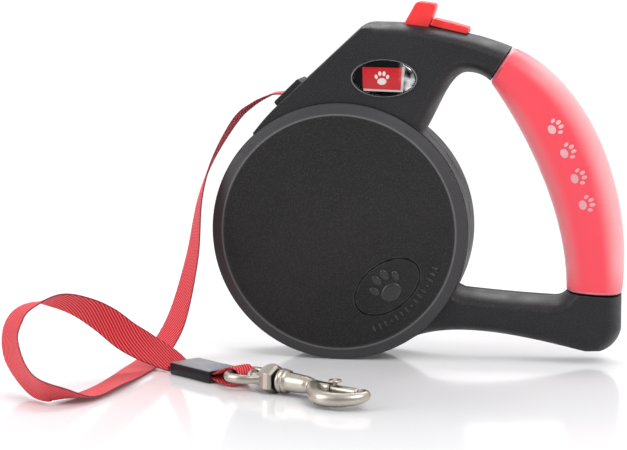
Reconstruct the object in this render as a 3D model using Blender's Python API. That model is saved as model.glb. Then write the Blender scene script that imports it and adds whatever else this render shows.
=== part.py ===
"""Retractable leash: a disc casing with a grip, a spring driven tape spool, a brake and a snap hook.

X runs towards the grip, Z is up and -Y is the face with the badge. The file's origin is the middle
of the rear cover's flat face, on the spool's axis. Every piece hangs from one empty, half way through
the casing, and the lengths below are measured from that empty, in millimetres; add_mesh turns them
into metres.
"""

import math

import bmesh
import bpy
from mathutils import Matrix, Vector

MM = 0.001
GAP = 0.3
HOLDER = "leash_middle"

# Casing
DISC_R = 52.2
CASE_HALF = 13.0
SEAM = 0.15
WALL = 2.2
CAVITY_HALF = CASE_HALF - WALL
CAVITY_R = 49.5
EDGE_ROUND = 6.0
SLANT_LOW = (-36.1, 39.3)
SLANT_TOP = (8.8, 83.3)
GRIP_TOP_OUT = (67.7, 74.3)
GRIP_TOP_IN = (59.2, 60.8)
GRIP_LOW_IN = (90.9, -23.3)
GRIP_LOW_OUT = (113.0, -24.5)
SCREWS = ((-27.5, 42.0), (7.0, 75.5), (50.3, 69.3), (29.5, 46.5), (53.0, -32.0), (103.5, -39.0))
BOSS_R = 3.1
SCREW_R = 1.0
HEAD_R = 2.4
HEAD_SEAT = 9.9
PAST_MIDDLE = -1.0
POCKET_FLOOR = CAVITY_HALF + 0.5
SHOULDER_HOLLOW = (
    (-32.5, 34.0), (-26.5, 45.9), (-14.8, 57.6), (9.5, 80.0), (13.0, 81.3), (24.0, 81.4), (38.0, 80.0),
    (53.0, 76.0), (53.0, 73.2), (46.0, 73.2), (45.6, 66.6), (41.5, 62.6), (32.0, 46.0), (28.0, 36.0),
)
ARM_HOLLOW = ((57.0, -27.6), (93.0, -28.2), (93.0, -43.6), (75.0, -40.2), (57.0, -38.4))

# Covers and badge
COVER_R = 52.0
COVER_FACE_R = 47.5
COVER_EDGE = 14.8
COVER_FACE = 16.5
BADGE = (18.0, 62.1)
BADGE_A = 13.2
BADGE_B = 7.5

# Grip
GEL_HALF = 12.5
GEL_WALL = 3.2
CORE_HALF = 8.6
GRIP_STATIONS = [0.006 + 0.988 * i / 12 for i in range(13)]
TENON_HALF_Y = 6.0
TENON_LOW_X = 102.0

# Spool and spring
AXLE_R = 3.0
ARBOR_R = 5.0
CUP_R = 22.5
HUB_R = 24.0
COIL_R = 39.4
FLANGE_R = 42.5
FLANGE_IN = 6.6
FLANGE_OUT = 8.0
TEETH = 24
TOOTH_TIP = 44.5
TOOTH_ROOT = 41.5
SPRING_TURNS = 7
SPRING_T = 0.5

# Brake
PAWL_PIVOT = (-9.0, 54.5)
PAWL_END = 21.5
PAWL_HALF = 1.5
PAWL_PIN_R = 1.2
LEDGE_TOP = 44.0
TAB_MIDDLE = (31.2, 86.0)
PAWL_Y = (-9.4, -6.5)
PUSH = Vector((-0.405, 0.0, -0.914)).normalized()
LEG_TIP = (18.3, 56.4)
LOCK_AT = (43.0, 81.85)
LOCK_DIR = (0.976, -0.218)

# Tape
TAPE_W = 12.0
TAPE_T = 0.8
NOZZLE_Z = 54.7
GUIDE_BAR = (-17.5, 51.5)
GUIDE_BAR_R = 2.4
GUIDE_HALF_Y = 8.6

# Snap hook: HOOK_AT is the middle of the swivel gap, HOOK_DIR points to the tip
HOOK_AT = Vector((-14.3, -81.0, -47.0))
HOOK_DIR = Vector((0.88, -0.475, 0.0)).normalized()
HOOK_SIDE = Vector((-0.475, -0.88, 0.0)).normalized()
BOW_TILT = math.radians(8.0)
BAR_AT = -18.7
BOLT_R = 1.7
BOLT_BACK = 16.0
SPRING_SEAT = 6.2
BOLT_TIP = 39.7
KNOB_AT = 29.0

# Sleeve: from the middle of its tape end to the middle of its hook end
SLEEVE_START = Vector((-57.0, -48.6, -49.7))
SLEEVE_END = Vector((-37.6, -64.8, -48.7))
SLEEVE_W = 14.6
SLEEVE_H = 4.8
FOLD_REACH = 14.2
FOLD_W = 11.4

# The tape as it lies: middle of the strip, then the direction across its width
TAPE_COURSE = (
    ((-30.4, -0.6, 53.8), (0.0, -1.0, 0.0)),
    ((-37.0, -2.8, 50.2), (0.1, -1.0, 0.15)),
    ((-44.0, -5.8, 43.6), (0.05, -1.0, 0.2)),
    ((-52.6, -10.5, 27.7), (0.16, -1.0, 0.13)),
    ((-56.8, -16.0, 12.0), (0.34, -0.94, 0.09)),
    ((-58.9, -22.0, -11.3), (0.6, -0.8, 0.07)),
    ((-64.6, -26.5, -35.8), (0.74, -0.66, -0.13)),
    ((-71.6, -35.0, -49.0), (0.85, -0.52, -0.06)),
    ((-75.2, -58.0, -51.4), (0.98, -0.18, 0.0)),
    ((-76.8, -82.0, -51.4), (0.97, -0.24, 0.0)),
    ((-82.0, -99.5, -51.3), (0.62, -0.78, 0.02)),
    ((-91.5, -106.0, -50.4), (-0.05, -1.0, 0.0)),
    ((-104.0, -99.5, -45.6), (-0.52, -0.84, -0.1)),
    ((-112.8, -91.0, -36.0), (-0.5, -0.87, 0.0)),
    ((-113.8, -84.5, -27.0), (-0.15, -0.98, 0.15)),
    ((-108.5, -81.0, -21.3), (0.26, -0.95, 0.1)),
    ((-100.0, -75.5, -20.2), (0.15, -0.92, -0.38)),
    ((-92.0, -67.6, -24.0), (-0.05, -0.77, -0.63)),
    ((-85.5, -59.0, -30.3), (-0.33, -0.65, -0.68)),
    ((-77.6, -54.0, -38.0), (-0.5, -0.5, -0.7)),
    ((-67.4, -48.0, -45.2), (-0.55, -0.78, -0.3)),
)
LOOP_FROM = 8
COURSE_STEPS = 4

COLOURS = {
    "casing_plastic": ((0.030, 0.031, 0.034), 0.55, 0.0),
    "cover_plastic": ((0.022, 0.023, 0.026), 0.50, 0.0),
    "gloss_black": ((0.008, 0.008, 0.009), 0.08, 0.0),
    "badge_print": ((0.600, 0.020, 0.025), 0.30, 0.0),
    "clear_lens": ((0.900, 0.900, 0.920), 0.05, 0.0),
    "gel": ((0.930, 0.300, 0.330), 0.30, 0.0),
    "grip_core": ((0.780, 0.060, 0.070), 0.45, 0.0),
    "button_red": ((0.860, 0.035, 0.035), 0.38, 0.0),
    "tape_red": ((0.720, 0.060, 0.075), 0.80, 0.0),
    "sleeve_plastic": ((0.018, 0.018, 0.024), 0.40, 0.0),
    "spool_plastic": ((0.160, 0.165, 0.175), 0.50, 0.0),
    "steel": ((0.560, 0.560, 0.570), 0.30, 1.0),
    "spring_steel": ((0.350, 0.360, 0.390), 0.25, 1.0),
    "hook_metal": ((0.560, 0.520, 0.480), 0.28, 1.0),
}


def clear_scene():
    for thing in list(bpy.data.objects):
        bpy.data.objects.remove(thing, do_unlink=True)


def holder():
    """The empty that every piece hangs from, half the thickness in front of the rear face."""
    made = bpy.data.objects.new(HOLDER, None)
    made.location = (0.0, -COVER_FACE * MM, 0.0)
    bpy.context.collection.objects.link(made)


def material(slot):
    found = bpy.data.materials.get(slot)
    if found:
        return found
    colour, roughness, metallic = COLOURS[slot]
    made = bpy.data.materials.new(slot)
    made.use_nodes = True
    shader = made.node_tree.nodes["Principled BSDF"]
    shader.inputs["Base Color"].default_value = (*colour, 1.0)
    shader.inputs["Roughness"].default_value = roughness
    shader.inputs["Metallic"].default_value = metallic
    if slot in ("gel", "clear_lens"):
        shader.inputs["Alpha"].default_value = 0.5
    return made


def add_mesh(name, bm, slot, origin=(0.0, 0.0, 0.0)):
    """Makes an object from a mesh in millimetres, with its origin moved to the given place."""
    origin = Vector(origin)
    bmesh.ops.recalc_face_normals(bm, faces=bm.faces)
    bmesh.ops.translate(bm, verts=bm.verts, vec=-origin)
    bmesh.ops.scale(bm, verts=bm.verts, vec=(MM, MM, MM))
    mesh = bpy.data.meshes.new(name)
    bm.to_mesh(mesh)
    bm.free()
    mesh.shade_smooth()
    mesh.set_sharp_from_angle(angle=math.radians(35.0))
    made = bpy.data.objects.new(name, mesh)
    made.parent = bpy.data.objects[HOLDER]
    made.location = origin * MM
    if slot:
        mesh.materials.append(material(slot))
    bpy.context.collection.objects.link(made)
    return made


def boolean(target, tool, operation="DIFFERENCE"):
    """Cuts or joins with a tool, which stays in the file as a hidden guide."""
    tool.hide_render = True
    tool.display_type = "WIRE"
    step = target.modifiers.new(tool.name, "BOOLEAN")
    step.object = tool
    step.operation = operation
    step.solver = "EXACT"


def fill_loops(bm, loops, wrap=False):
    """Skins a list of closed loops of points, with flat ends unless the loops wrap around."""
    rings = [[bm.verts.new(point) for point in loop] for loop in loops]
    pairs = list(zip(rings, rings[1:]))
    if wrap:
        pairs.append((rings[-1], rings[0]))
    for low, high in pairs:
        for i in range(len(low)):
            j = (i + 1) % len(low)
            bm.faces.new((low[i], low[j], high[j], high[i]))
    if not wrap:
        bm.faces.new(rings[0])
        bm.faces.new(rings[-1])
    return bm


def loft(name, loops, slot, origin=(0.0, 0.0, 0.0), wrap=False):
    return add_mesh(name, fill_loops(bmesh.new(), loops, wrap), slot, origin)


def prism(name, outline, low, high, slot=None, origin=(0.0, 0.0, 0.0)):
    """Extrudes an outline of (x, z) points from y = low to y = high."""
    loops = [[(x, y, z) for x, z in outline] for y in (low, high)]
    return loft(name, loops, slot, origin)


def prisms(name, outlines, low, high):
    """Several separate prisms in one guide object."""
    bm = bmesh.new()
    for outline in outlines:
        fill_loops(bm, [[(x, y, z) for x, z in outline] for y in (low, high)])
    return add_mesh(name, bm, None)


def turn(name, profile, slot, segments=48, at=(0.0, 0.0), origin=(0.0, 0.0, 0.0)):
    """Turns a closed outline of (radius, y) points about a line along Y through at."""
    loops = []
    for i in range(segments):
        angle = 2.0 * math.pi * i / segments
        c, s = math.cos(angle), math.sin(angle)
        loops.append([(at[0] + r * c, y, at[1] + r * s) for r, y in profile])
    return loft(name, loops, slot, origin, wrap=True)


def rod(name, radius, low, high, slot, segments=20, at=(0.0, 0.0), origin=(0.0, 0.0, 0.0)):
    """A round bar along Y with small chamfers."""
    rim = min(0.3, radius * 0.3)
    steps = ((radius - rim, low), (radius, low + rim), (radius, high - rim), (radius - rim, high))
    loops = [[(x, y, z) for x, z in circle(at, r, segments)] for r, y in steps]
    return loft(name, loops, slot, origin)


def circle(at, radius, segments):
    turnings = [2.0 * math.pi * i / segments for i in range(segments)]
    return [(at[0] + radius * math.cos(a), at[1] + radius * math.sin(a)) for a in turnings]


def ellipse(at, a, b, segments):
    turnings = [2.0 * math.pi * i / segments for i in range(segments)]
    return [(at[0] + a * math.cos(t), at[1] + b * math.sin(t)) for t in turnings]


def arc(at, radius, start, end, steps):
    """Points on an arc, angles in degrees, both ends included."""
    angles = [math.radians(start + (end - start) * i / steps) for i in range(steps + 1)]
    return [(at[0] + radius * math.cos(a), at[1] + radius * math.sin(a)) for a in angles]


def bezier(p0, p1, p2, p3, t):
    weights = ((1 - t) ** 3, 3 * t * (1 - t) ** 2, 3 * t * t * (1 - t), t**3)
    return tuple(sum(w * p[k] for w, p in zip(weights, (p0, p1, p2, p3))) for k in range(len(p0)))


def curve(p0, p1, p2, p3, steps):
    return [bezier(p0, p1, p2, p3, i / steps) for i in range(steps + 1)]


# ---------------------------------------------------------------- casing


def casing_outline():
    """The outline of both casing halves, anticlockwise, with how much each stretch is rounded."""
    stretches = (
        (arc((0, 0), DISC_R, 133.0, 303.5, 28), 0.0),
        (curve((29.9, -44.3), (50.1, -36.5), (83.7, -45.2), (99.0, -48.2), 7), 1.0),
        (arc((101.5, -36.5), 11.7, -78.0, -8.0, 4), 1.0),
        ((GRIP_LOW_OUT, GRIP_LOW_IN), 0.0),
        (curve((88.3, -24.7), (76.0, -24.9), (62.0, -23.8), (50.2, -22.7), 3), 1.0),
        (arc((0, 0), DISC_R, -25.0, 50.5, 12), 0.0),
        (curve((34.4, 42.3), (39.3, 51.0), (43.5, 64.4), (50.4, 64.2), 6), 1.0),
        (curve((52.2, 64.1), (54.6, 64.0), (56.8, 62.8), (58.4, 61.6), 2), 1.0),
        ((GRIP_TOP_IN, GRIP_TOP_OUT), 0.0),
        (curve((65.7, 75.1), (56.0, 78.9), (38.7, 84.2), (16.0, 84.4), 6), 1.0),
        (((13.0, 84.4), (10.6, 84.1), SLANT_TOP), 0.6),
        (((-8.0, 67.9), (-17.4, 59.6), (-28.0, 49.2), SLANT_LOW), 0.25),
    )
    points, rounding = [], []
    for stretch, amount in stretches:
        points.extend(stretch)
        rounding.extend([amount] * len(stretch))
    return points, rounding


def inset(points, amounts):
    """Moves each edge of an anticlockwise outline inwards: an edge takes its larger end's amount."""
    count = len(points)
    edges = []
    for i, (x, z) in enumerate(points):
        after = points[(i + 1) % count]
        run = Vector((after[0] - x, after[1] - z)).normalized()
        edges.append((Vector((-run.y, run.x)), max(amounts[i], amounts[(i + 1) % count])))
    moved = []
    for i, (x, z) in enumerate(points):
        (normal_a, shift_a), (normal_b, shift_b) = edges[i - 1], edges[i]
        turning = normal_a.x * normal_b.y - normal_a.y * normal_b.x
        if abs(turning) < 0.5:
            step = (normal_a + normal_b).normalized() * (shift_a + shift_b) / 2.0
        else:
            across = shift_a * normal_b.y - shift_b * normal_a.y
            up = shift_b * normal_a.x - shift_a * normal_b.x
            step = Vector((across, up)) / turning
        moved.append((x + step.x, z + step.y))
    return moved


def casing_blank(name, side):
    """One solid half, side -1 for the front, with its outer edge rounded."""
    points, rounding = casing_outline()
    loops = []
    for share, y in ((0.0, SEAM), (0.0, 7.0), (0.13, 10.1), (0.45, 12.2), (1.0, CASE_HALF)):
        amounts = [share * EDGE_ROUND * amount for amount in rounding]
        loops.append([(x, side * y, z) for x, z in inset(points, amounts)])
    return loft(name, loops, "casing_plastic")


def button_slot():
    """The parallelogram that the button passes through, along its own travel."""
    run = Vector((PUSH.x, PUSH.z)) / -PUSH.z
    corners = []
    for x, z in ((25.3, 84.3), (35.5, 83.4)):
        corners.append(((x + run.x * (z - 74.0), 74.0), (x - run.x * (92.0 - z), 92.0)))
    (left_low, left_high), (right_low, right_high) = corners
    return [left_low, right_low, right_high, left_high]


def lock_point(along, out):
    """A point in the lock slider's own directions: along its travel, and out of the casing."""
    return (
        LOCK_AT[0] + along * LOCK_DIR[0] - out * LOCK_DIR[1],
        LOCK_AT[1] + along * LOCK_DIR[1] + out * LOCK_DIR[0],
    )


def slant_point(along, out):
    """A point on the slanted nose: along it upwards, and out of it."""
    run = Vector((SLANT_TOP[0] - SLANT_LOW[0], SLANT_TOP[1] - SLANT_LOW[1])).normalized()
    middle = (-21.8, 55.4)
    return (middle[0] + along * run.x - out * run.y, middle[1] + along * run.y + out * run.x)


def box_outline(place, low, high):
    """A rectangle drawn with one of the two-direction functions above."""
    corners = (low, (high[0], low[1]), high, (low[0], high[1]))
    return [place(*corner) for corner in corners]


def tenon_top(reach, half):
    """The socket or tenon where the grip core enters the upper arm."""
    along = Vector((-0.846, 0.533))
    across = Vector((0.533, 0.846))
    middle = Vector((63.4, 67.5))
    ends = (middle - along * 0.5, middle + along * reach)
    return [tuple(ends[i] + across * w) for i, w in ((0, -half), (0, half), (1, half), (1, -half))]


def tenon_low(reach, half):
    """The socket or tenon where the grip core enters the lower arm."""
    left, right, bottom = TENON_LOW_X - half, TENON_LOW_X + half, -24.0 - reach
    return [(left, -23.4), (right, -23.4), (right, bottom), (left, bottom)]


def casing_half(name, side):
    """One half with its hollows, bosses, posts, sockets and its share of each opening."""
    half = casing_blank(name, side)
    tag = name.split("_")[0]

    def cut(label, outlines, deep, shallow, operation="DIFFERENCE"):
        low, high = sorted((side * deep, side * shallow))
        boolean(half, prisms(f"{tag}_{label}", outlines, low, high), operation)

    cut("disc_cavity", [circle((0, 0), CAVITY_R, 48)], CAVITY_HALF, PAST_MIDDLE)
    cut("shoulder_cavity", [SHOULDER_HOLLOW], CAVITY_HALF, PAST_MIDDLE)
    cut("arm_cavity", [ARM_HOLLOW], CAVITY_HALF, PAST_MIDDLE)
    bossed = SCREWS[:2] + SCREWS[3:4]
    cut("bosses", [circle(at, BOSS_R, 14) for at in bossed], POCKET_FLOOR, SEAM, "UNION")
    posts = [circle((0, 0), 6.0, 24), circle(GUIDE_BAR, 3.4, 14), circle(PAWL_PIVOT, 2.6, 14)]
    cut("posts", posts, POCKET_FLOOR, 9.9, "UNION")
    sockets = [
        circle((0, 0), AXLE_R + GAP, 24),
        circle(GUIDE_BAR, GUIDE_BAR_R + GAP, 16),
        circle(PAWL_PIVOT, PAWL_PIN_R + GAP, 12),
    ]
    cut("sockets", sockets, 12.5, 0.0)
    cut("tenon_seats", [tenon_top(8.6, 4.6), tenon_low(9.6, 6.4)], TENON_HALF_Y + GAP, PAST_MIDDLE)
    cut("button_slot", [button_slot()], 7.4, PAST_MIDDLE)
    cut("lock_slot", [box_outline(lock_point, (-3.4, -8.0), (7.2, 4.0))], 3.4, PAST_MIDDLE)
    cut("mouth", [box_outline(slant_point, (-7.3, -9.0), (7.3, 4.0))], GUIDE_HALF_Y + GAP, PAST_MIDDLE)
    return half


def front_casing():
    half = casing_half("front_casing", -1)
    boolean(half, prisms("front_screw_holes", [circle(s, SCREW_R + GAP, 10) for s in SCREWS], -9.0, 1.0))
    boolean(half, prism("badge_pocket", ellipse(BADGE, BADGE_A + GAP, BADGE_B + GAP, 28), -14.0, -11.6))
    ledge = ((16.6, 42.6), (23.4, 42.6), (23.4, LEDGE_TOP), (16.6, LEDGE_TOP))
    boolean(half, prism("spring_ledge", ledge, -11.3, -5.8), "UNION")


def rear_casing():
    half = casing_half("rear_casing", 1)
    ways = [circle(at, SCREW_R + GAP, 10) for at in SCREWS]
    seats = [circle(at, HEAD_R + GAP, 14) for at in SCREWS]
    boolean(half, prisms("rear_screw_holes", ways, PAST_MIDDLE, 14.0))
    boolean(half, prisms("rear_head_seats", seats, HEAD_SEAT - GAP, 14.0))


def casing_screws():
    """Six screws driven from the rear, heads sunk in their seats."""
    tip = ((0.6, -8.4), (SCREW_R, -7.6))
    head = ((SCREW_R, HEAD_SEAT), (HEAD_R, HEAD_SEAT), (HEAD_R, 11.2), (1.6, 11.8))
    steps = tip + head
    for number, at in enumerate(SCREWS, start=1):
        loops = [[(x, y, z) for x, z in circle(at, r, 12)] for r, y in steps]
        loft(f"casing_screw_{number}", loops, "steel")


def disc_cover(name, side):
    """A dished cover with a bevelled rim, standing on the casing's disc."""
    rings = ((COVER_R, CASE_HALF + GAP), (COVER_R, COVER_EDGE), (COVER_FACE_R, COVER_FACE))
    under = ((46.0, COVER_FACE - 1.8), (49.0, CASE_HALF + GAP))
    loops = [[(x, side * y, z) for x, z in circle((0, 0), r, 64)] for r, y in under + rings]
    loft(name, loops, "cover_plastic")


def badge():
    """The oval badge: a dished plate, a printed label and a clear domed lens."""
    rim = ((1.0, -11.9), (1.0, -13.6), (0.935, -13.6), (0.92, -12.5))
    loops = [[(x, y, z) for x, z in ellipse(BADGE, BADGE_A * k, BADGE_B * k, 28)] for k, y in rim]
    loft("badge_plate", loops, "gloss_black")
    card = ((-8.6, -4.6), (7.0, -5.0), (7.6, 4.2), (-8.8, 4.4))
    card = [(BADGE[0] + x, BADGE[1] + z) for x, z in card]
    prism("badge_label", card, -12.95, -12.75, "badge_print")
    dome = ((0.9, -13.2), (0.9, -13.6), (0.72, -14.0), (0.4, -14.2))
    loops = [[(x, y, z) for x, z in ellipse(BADGE, BADGE_A * k, BADGE_B * k, 28)] for k, y in dome]
    loft("badge_lens", loops, "clear_lens")


# ---------------------------------------------------------------- grip


def grip_edges(t):
    """The outer and inner edge of the grip at t, 0 at the upper arm and 1 at the lower arm."""
    outer = bezier(GRIP_TOP_OUT, (100.8, 61.2), (117.8, 13.5), GRIP_LOW_OUT, t)
    inner = bezier(GRIP_TOP_IN, (74.2, 40.0), (91.0, 7.6), GRIP_LOW_IN, t)
    return Vector(outer), Vector(inner)


def grip_section(t, thinner, half, count):
    """A rounded section across the grip, thinner by the given amount on every side."""
    outer, inner = grip_edges(t)
    middle = (outer + inner) / 2.0
    reach = (outer - inner).length / 2.0 - thinner
    across = (outer - inner).normalized()
    points = []
    for i in range(count):
        angle = 2.0 * math.pi * i / count
        c, s = math.cos(angle), math.sin(angle)
        u = math.copysign(abs(c) ** 0.8, c) * reach
        v = math.copysign(abs(s) ** 0.8, s) * half
        points.append((middle.x + across.x * u, v, middle.y + across.y * u))
    return points


def gel_sleeve():
    """The soft sleeve: a tube around the core, its ends stopping short of the casing arms."""
    outside = [grip_section(t, 0.0, GEL_HALF, 20) for t in GRIP_STATIONS]
    inside = [grip_section(t, GEL_WALL, CORE_HALF + GAP, 20) for t in reversed(GRIP_STATIONS)]
    loft("gel_sleeve", outside + inside, "gel", wrap=True)


def grip_core():
    """The stiff core that carries the sleeve, with a tenon clamped in each casing arm."""
    loops = [grip_section(t, GEL_WALL + GAP, CORE_HALF, 20) for t in (0.001, *GRIP_STATIONS, 0.999)]
    core = loft("grip_core", loops, "grip_core")
    boolean(core, prism("core_tenon_top", tenon_top(8.3, 4.3), -TENON_HALF_Y, TENON_HALF_Y), "UNION")
    boolean(core, prism("core_tenon_low", tenon_low(9.3, 6.1), -TENON_HALF_Y, TENON_HALF_Y), "UNION")


# ---------------------------------------------------------------- spool


def spool_axle():
    steps = (
        (AXLE_R - 0.4, -12.2), (AXLE_R, -11.8), (AXLE_R, -4.5), (ARBOR_R, -4.5),
        (ARBOR_R, 4.5), (AXLE_R, 4.5), (AXLE_R, 11.8), (AXLE_R - 0.4, 12.2),
    )
    loft("spool_axle", [[(x, y, z) for x, z in circle((0, 0), r, 24)] for r, y in steps], "steel")


def spool():
    """The hub with its rear flange, cup for the spring and front bearing."""
    bore = AXLE_R + GAP
    profile = (
        (bore, -9.0), (5.5, -9.0), (5.5, -6.3), (HUB_R, -6.3), (HUB_R, FLANGE_IN),
        (FLANGE_R, FLANGE_IN), (FLANGE_R, FLANGE_OUT), (CUP_R, FLANGE_OUT), (CUP_R, -4.9),
        (bore, -4.9),
    )
    turn("spool", profile, "spool_plastic", 48)


def ratchet_outline():
    """Saw teeth: each has a steep face that the pawl holds and a ramp that it rides over."""
    pitch = 360.0 / TEETH
    points = []
    for i in range(TEETH):
        start = i * pitch + 4.0
        points.extend(arc((0, 0), TOOTH_ROOT, start, start + pitch * 0.5, 1))
        points.extend(arc((0, 0), TOOTH_TIP, start + pitch * 0.56, start + pitch * 0.8, 1))
    return points


def ratchet_flange():
    ratchet = prism("ratchet_flange", ratchet_outline(), -FLANGE_OUT, -FLANGE_IN, "spool_plastic")
    boolean(ratchet, prism("ratchet_bore", circle((0, 0), 5.9, 20), -9.0, -5.0))


def tape_coil():
    """The wound part of the tape, between the flanges."""
    profile = ((HUB_R + GAP, -6.0), (COIL_R, -6.0), (COIL_R, 6.2), (HUB_R + GAP, 6.2))
    turn("tape_coil", profile, "tape_red", 40)


def mainspring():
    """A flat spiral strip between the axle's arbor and the wall of the spool's cup."""
    inner, outer, steps = ARBOR_R + 2.0 * GAP, CUP_R - 2.0 * GAP, SPRING_TURNS * 16
    loops = []
    for i in range(steps + 1):
        angle = 2.0 * math.pi * SPRING_TURNS * i / steps
        radius = inner + (outer - inner) * i / steps
        c, s = math.cos(angle), math.sin(angle)
        low, high = radius - SPRING_T / 2.0, radius + SPRING_T / 2.0
        corners = ((low, -4.3), (high, -4.3), (high, 4.6), (low, 4.6))
        loops.append([(r * c, y, r * s) for r, y in corners])
    loft("mainspring", loops, "spring_steel")


def spring_cover():
    """The lid of the spring's cup, with the rear bearing."""
    bore, rim = AXLE_R + GAP, CUP_R - GAP
    profile = ((bore, 5.2), (rim, 5.2), (rim, 6.4), (5.5, 6.4), (5.5, 9.0), (bore, 9.0))
    turn("spring_cover", profile, "spool_plastic", 40)


def washers():
    bore = AXLE_R + GAP
    for name, low in (("front_washer", -9.65), ("rear_washer", 9.25)):
        high = low + 0.4
        turn(name, ((bore, low), (5.6, low), (5.6, high), (bore, high)), "steel", 24)


# ---------------------------------------------------------------- brake


def eased_prism(name, outline, middle, rows, origin):
    """A red prism along Y whose outline shrinks towards the middle by each row's (share, y)."""
    middle = Vector(middle)
    loops = []
    for share, y in rows:
        loop = [middle + (Vector(point) - middle) * share for point in outline]
        loops.append([(point.x, y, point.y) for point in loop])
    return loft(name, loops, "button_red", origin)


def brake_button():
    """The tall thumb tab, its retaining foot inside the casing and the leg that pushes the pawl."""
    tab = (
        (24.2, 80.4), (33.6, 80.0), (35.1, 83.4), (38.2, 90.4), (37.6, 91.7), (31.4, 92.5), (30.2, 91.7),
        (25.7, 83.9),
    )
    rows = ((0.9, -7.0), (1.0, -6.3), (1.0, 6.3), (0.9, 7.0))
    button = eased_prism("brake_button", tab, TAB_MIDDLE, rows, (TAB_MIDDLE[0], 0.0, TAB_MIDDLE[1]))
    neck = ((23.8, 79.0), (33.2, 79.0), (34.2, 82.0), (25.0, 82.0))
    foot = ((22.5, 77.4), (37.0, 77.4), (37.0, 79.4), (22.5, 79.4))
    boolean(button, prism("button_neck", neck, -6.6, 6.6), "UNION")
    boolean(button, prism("button_foot", foot, -9.0, 9.0), "UNION")
    top = Vector(LEG_TIP) - Vector((PUSH.x, PUSH.z)) * 24.0
    x, z = LEG_TIP
    leg = ((top.x - 2.2, top.y), (top.x + 2.2, top.y), (x + 1.6, z + 0.4), (x, z), (x - 1.4, z + 0.5))
    boolean(button, prism("button_leg", leg, -9.2, -6.7), "UNION")


def lock_slider():
    """The low pad behind the button, its neck and foot, and the side arm with the holding toe."""
    pad = ((-6.9, 0.3), (8.6, 0.3), (8.9, 1.2), (7.4, 2.6), (0.0, 3.0), (-5.6, 2.6))
    pad = [lock_point(*point) for point in pad]
    rows = ((0.94, -6.6), (1.0, -5.8), (1.0, 5.8), (0.94, 6.6))
    slider = eased_prism("lock_slider", pad, lock_point(1.0, 1.5), rows, (LOCK_AT[0], 0.0, LOCK_AT[1]))
    neck = box_outline(lock_point, (-3.0, -4.2), (3.0, 1.0))
    foot = box_outline(lock_point, (-4.0, -5.0), (4.6, -3.7))
    arm = ((15.6, 75.2), (39.5, 75.0), (42.0, 78.0), (39.6, 78.4), (38.2, 76.9), (15.6, 76.9))
    toe = ((15.6, 75.6), (19.7, 75.6), (19.7, 76.9), (15.6, 76.9))
    boolean(slider, prism("lock_neck", neck, -3.0, 3.0), "UNION")
    boolean(slider, prism("lock_foot", foot, -4.6, 10.5), "UNION")
    boolean(slider, prism("lock_arm", arm, 9.4, 10.5), "UNION")
    boolean(slider, prism("lock_toe", toe, 7.5, 10.0), "UNION")


def brake_pawl():
    """The lever between button and ratchet: hub, arm, tooth and the pad that the leg presses."""
    x, z = PAWL_PIVOT
    low, high = z - PAWL_HALF, z + PAWL_HALF
    outline = arc(PAWL_PIVOT, 3.0, 60.0, 300.0, 8)
    outline += [(3.4, low), (3.9, 47.0), (5.0, 45.2), (6.4, 45.6), (6.8, low)]
    outline += [(PAWL_END, low), (PAWL_END, high)]
    pawl = prism("brake_pawl", outline, PAWL_Y[0], PAWL_Y[1], "steel", (x, 0.0, z))
    boolean(pawl, prism("pawl_bore", circle(PAWL_PIVOT, PAWL_PIN_R + GAP, 12), -10.0, -6.0))


def brake_spring():
    """The coil that lifts the pawl off the ratchet, standing on the casing's ledge."""
    turns, per_turn, radius, wire = 4, 10, 1.45, 0.28
    low, high = LEDGE_TOP + GAP + wire, PAWL_PIVOT[1] - PAWL_HALF - GAP - wire
    steps = turns * per_turn
    loops = []
    for i in range(steps + 1):
        angle = 2.0 * math.pi * i / per_turn
        outward = Vector((math.cos(angle), math.sin(angle), 0.0))
        centre = Vector((20.0, -8.0, low + (high - low) * i / steps)) + outward * radius
        corners = ((wire, 0.0), (0.0, wire), (-wire, 0.0), (0.0, -wire))
        loops.append([centre + outward * out + Vector((0.0, 0.0, up)) for out, up in corners])
    loft("brake_spring", loops, "spring_steel")


def brake_and_guide_pins():
    rod("pawl_pin", PAWL_PIN_R, -12.2, 12.2, "steel", 12, PAWL_PIVOT)
    rod("guide_bar", GUIDE_BAR_R, -12.2, 12.2, "steel", 16, GUIDE_BAR)


def exit_guide():
    """The black nozzle set into the slanted nose, with a level slot for the tape."""
    outline = box_outline(slant_point, (-7.0, -2.9), (7.0, 1.8))
    guide = prism("exit_guide", outline, -GUIDE_HALF_Y, GUIDE_HALF_Y, "casing_plastic")
    low, high = NOZZLE_Z - 1.5, NOZZLE_Z + 1.5
    lips = ((-40.0, low), (-8.0, low), (-8.0, high), (-40.0, high))
    boolean(guide, prism("guide_slot", lips, -6.6, 6.6))


# ---------------------------------------------------------------- tape


def strip_sections(course, width=TAPE_W):
    """The four corners of a flat strip at each (middle, across) pair of its course."""
    sections = []
    for i, (middle, across) in enumerate(course):
        ahead = course[min(i + 1, len(course) - 1)][0] - course[max(i - 1, 0)][0]
        across = (across - ahead * (across.dot(ahead) / ahead.length_squared)).normalized()
        face = ahead.normalized().cross(across)
        half, rise = across * (width / 2.0), face * (TAPE_T / 2.0)
        low, high = middle - rise, middle + rise
        sections.append([low - half, low + half, high + half, high - half])
    return sections


def strip(name, course, origin, width=TAPE_W):
    loft(name, strip_sections(course, width), "tape_red", origin)


def through(a, b, c, d, t):
    """A smooth step between b and c, with a and d as the points before and after."""
    square = 2 * a - 5 * b + 4 * c - d
    cube = 3 * b - 3 * c + d - a
    return 0.5 * (2 * b + (c - a) * t + square * t * t + cube * t**3)


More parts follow.
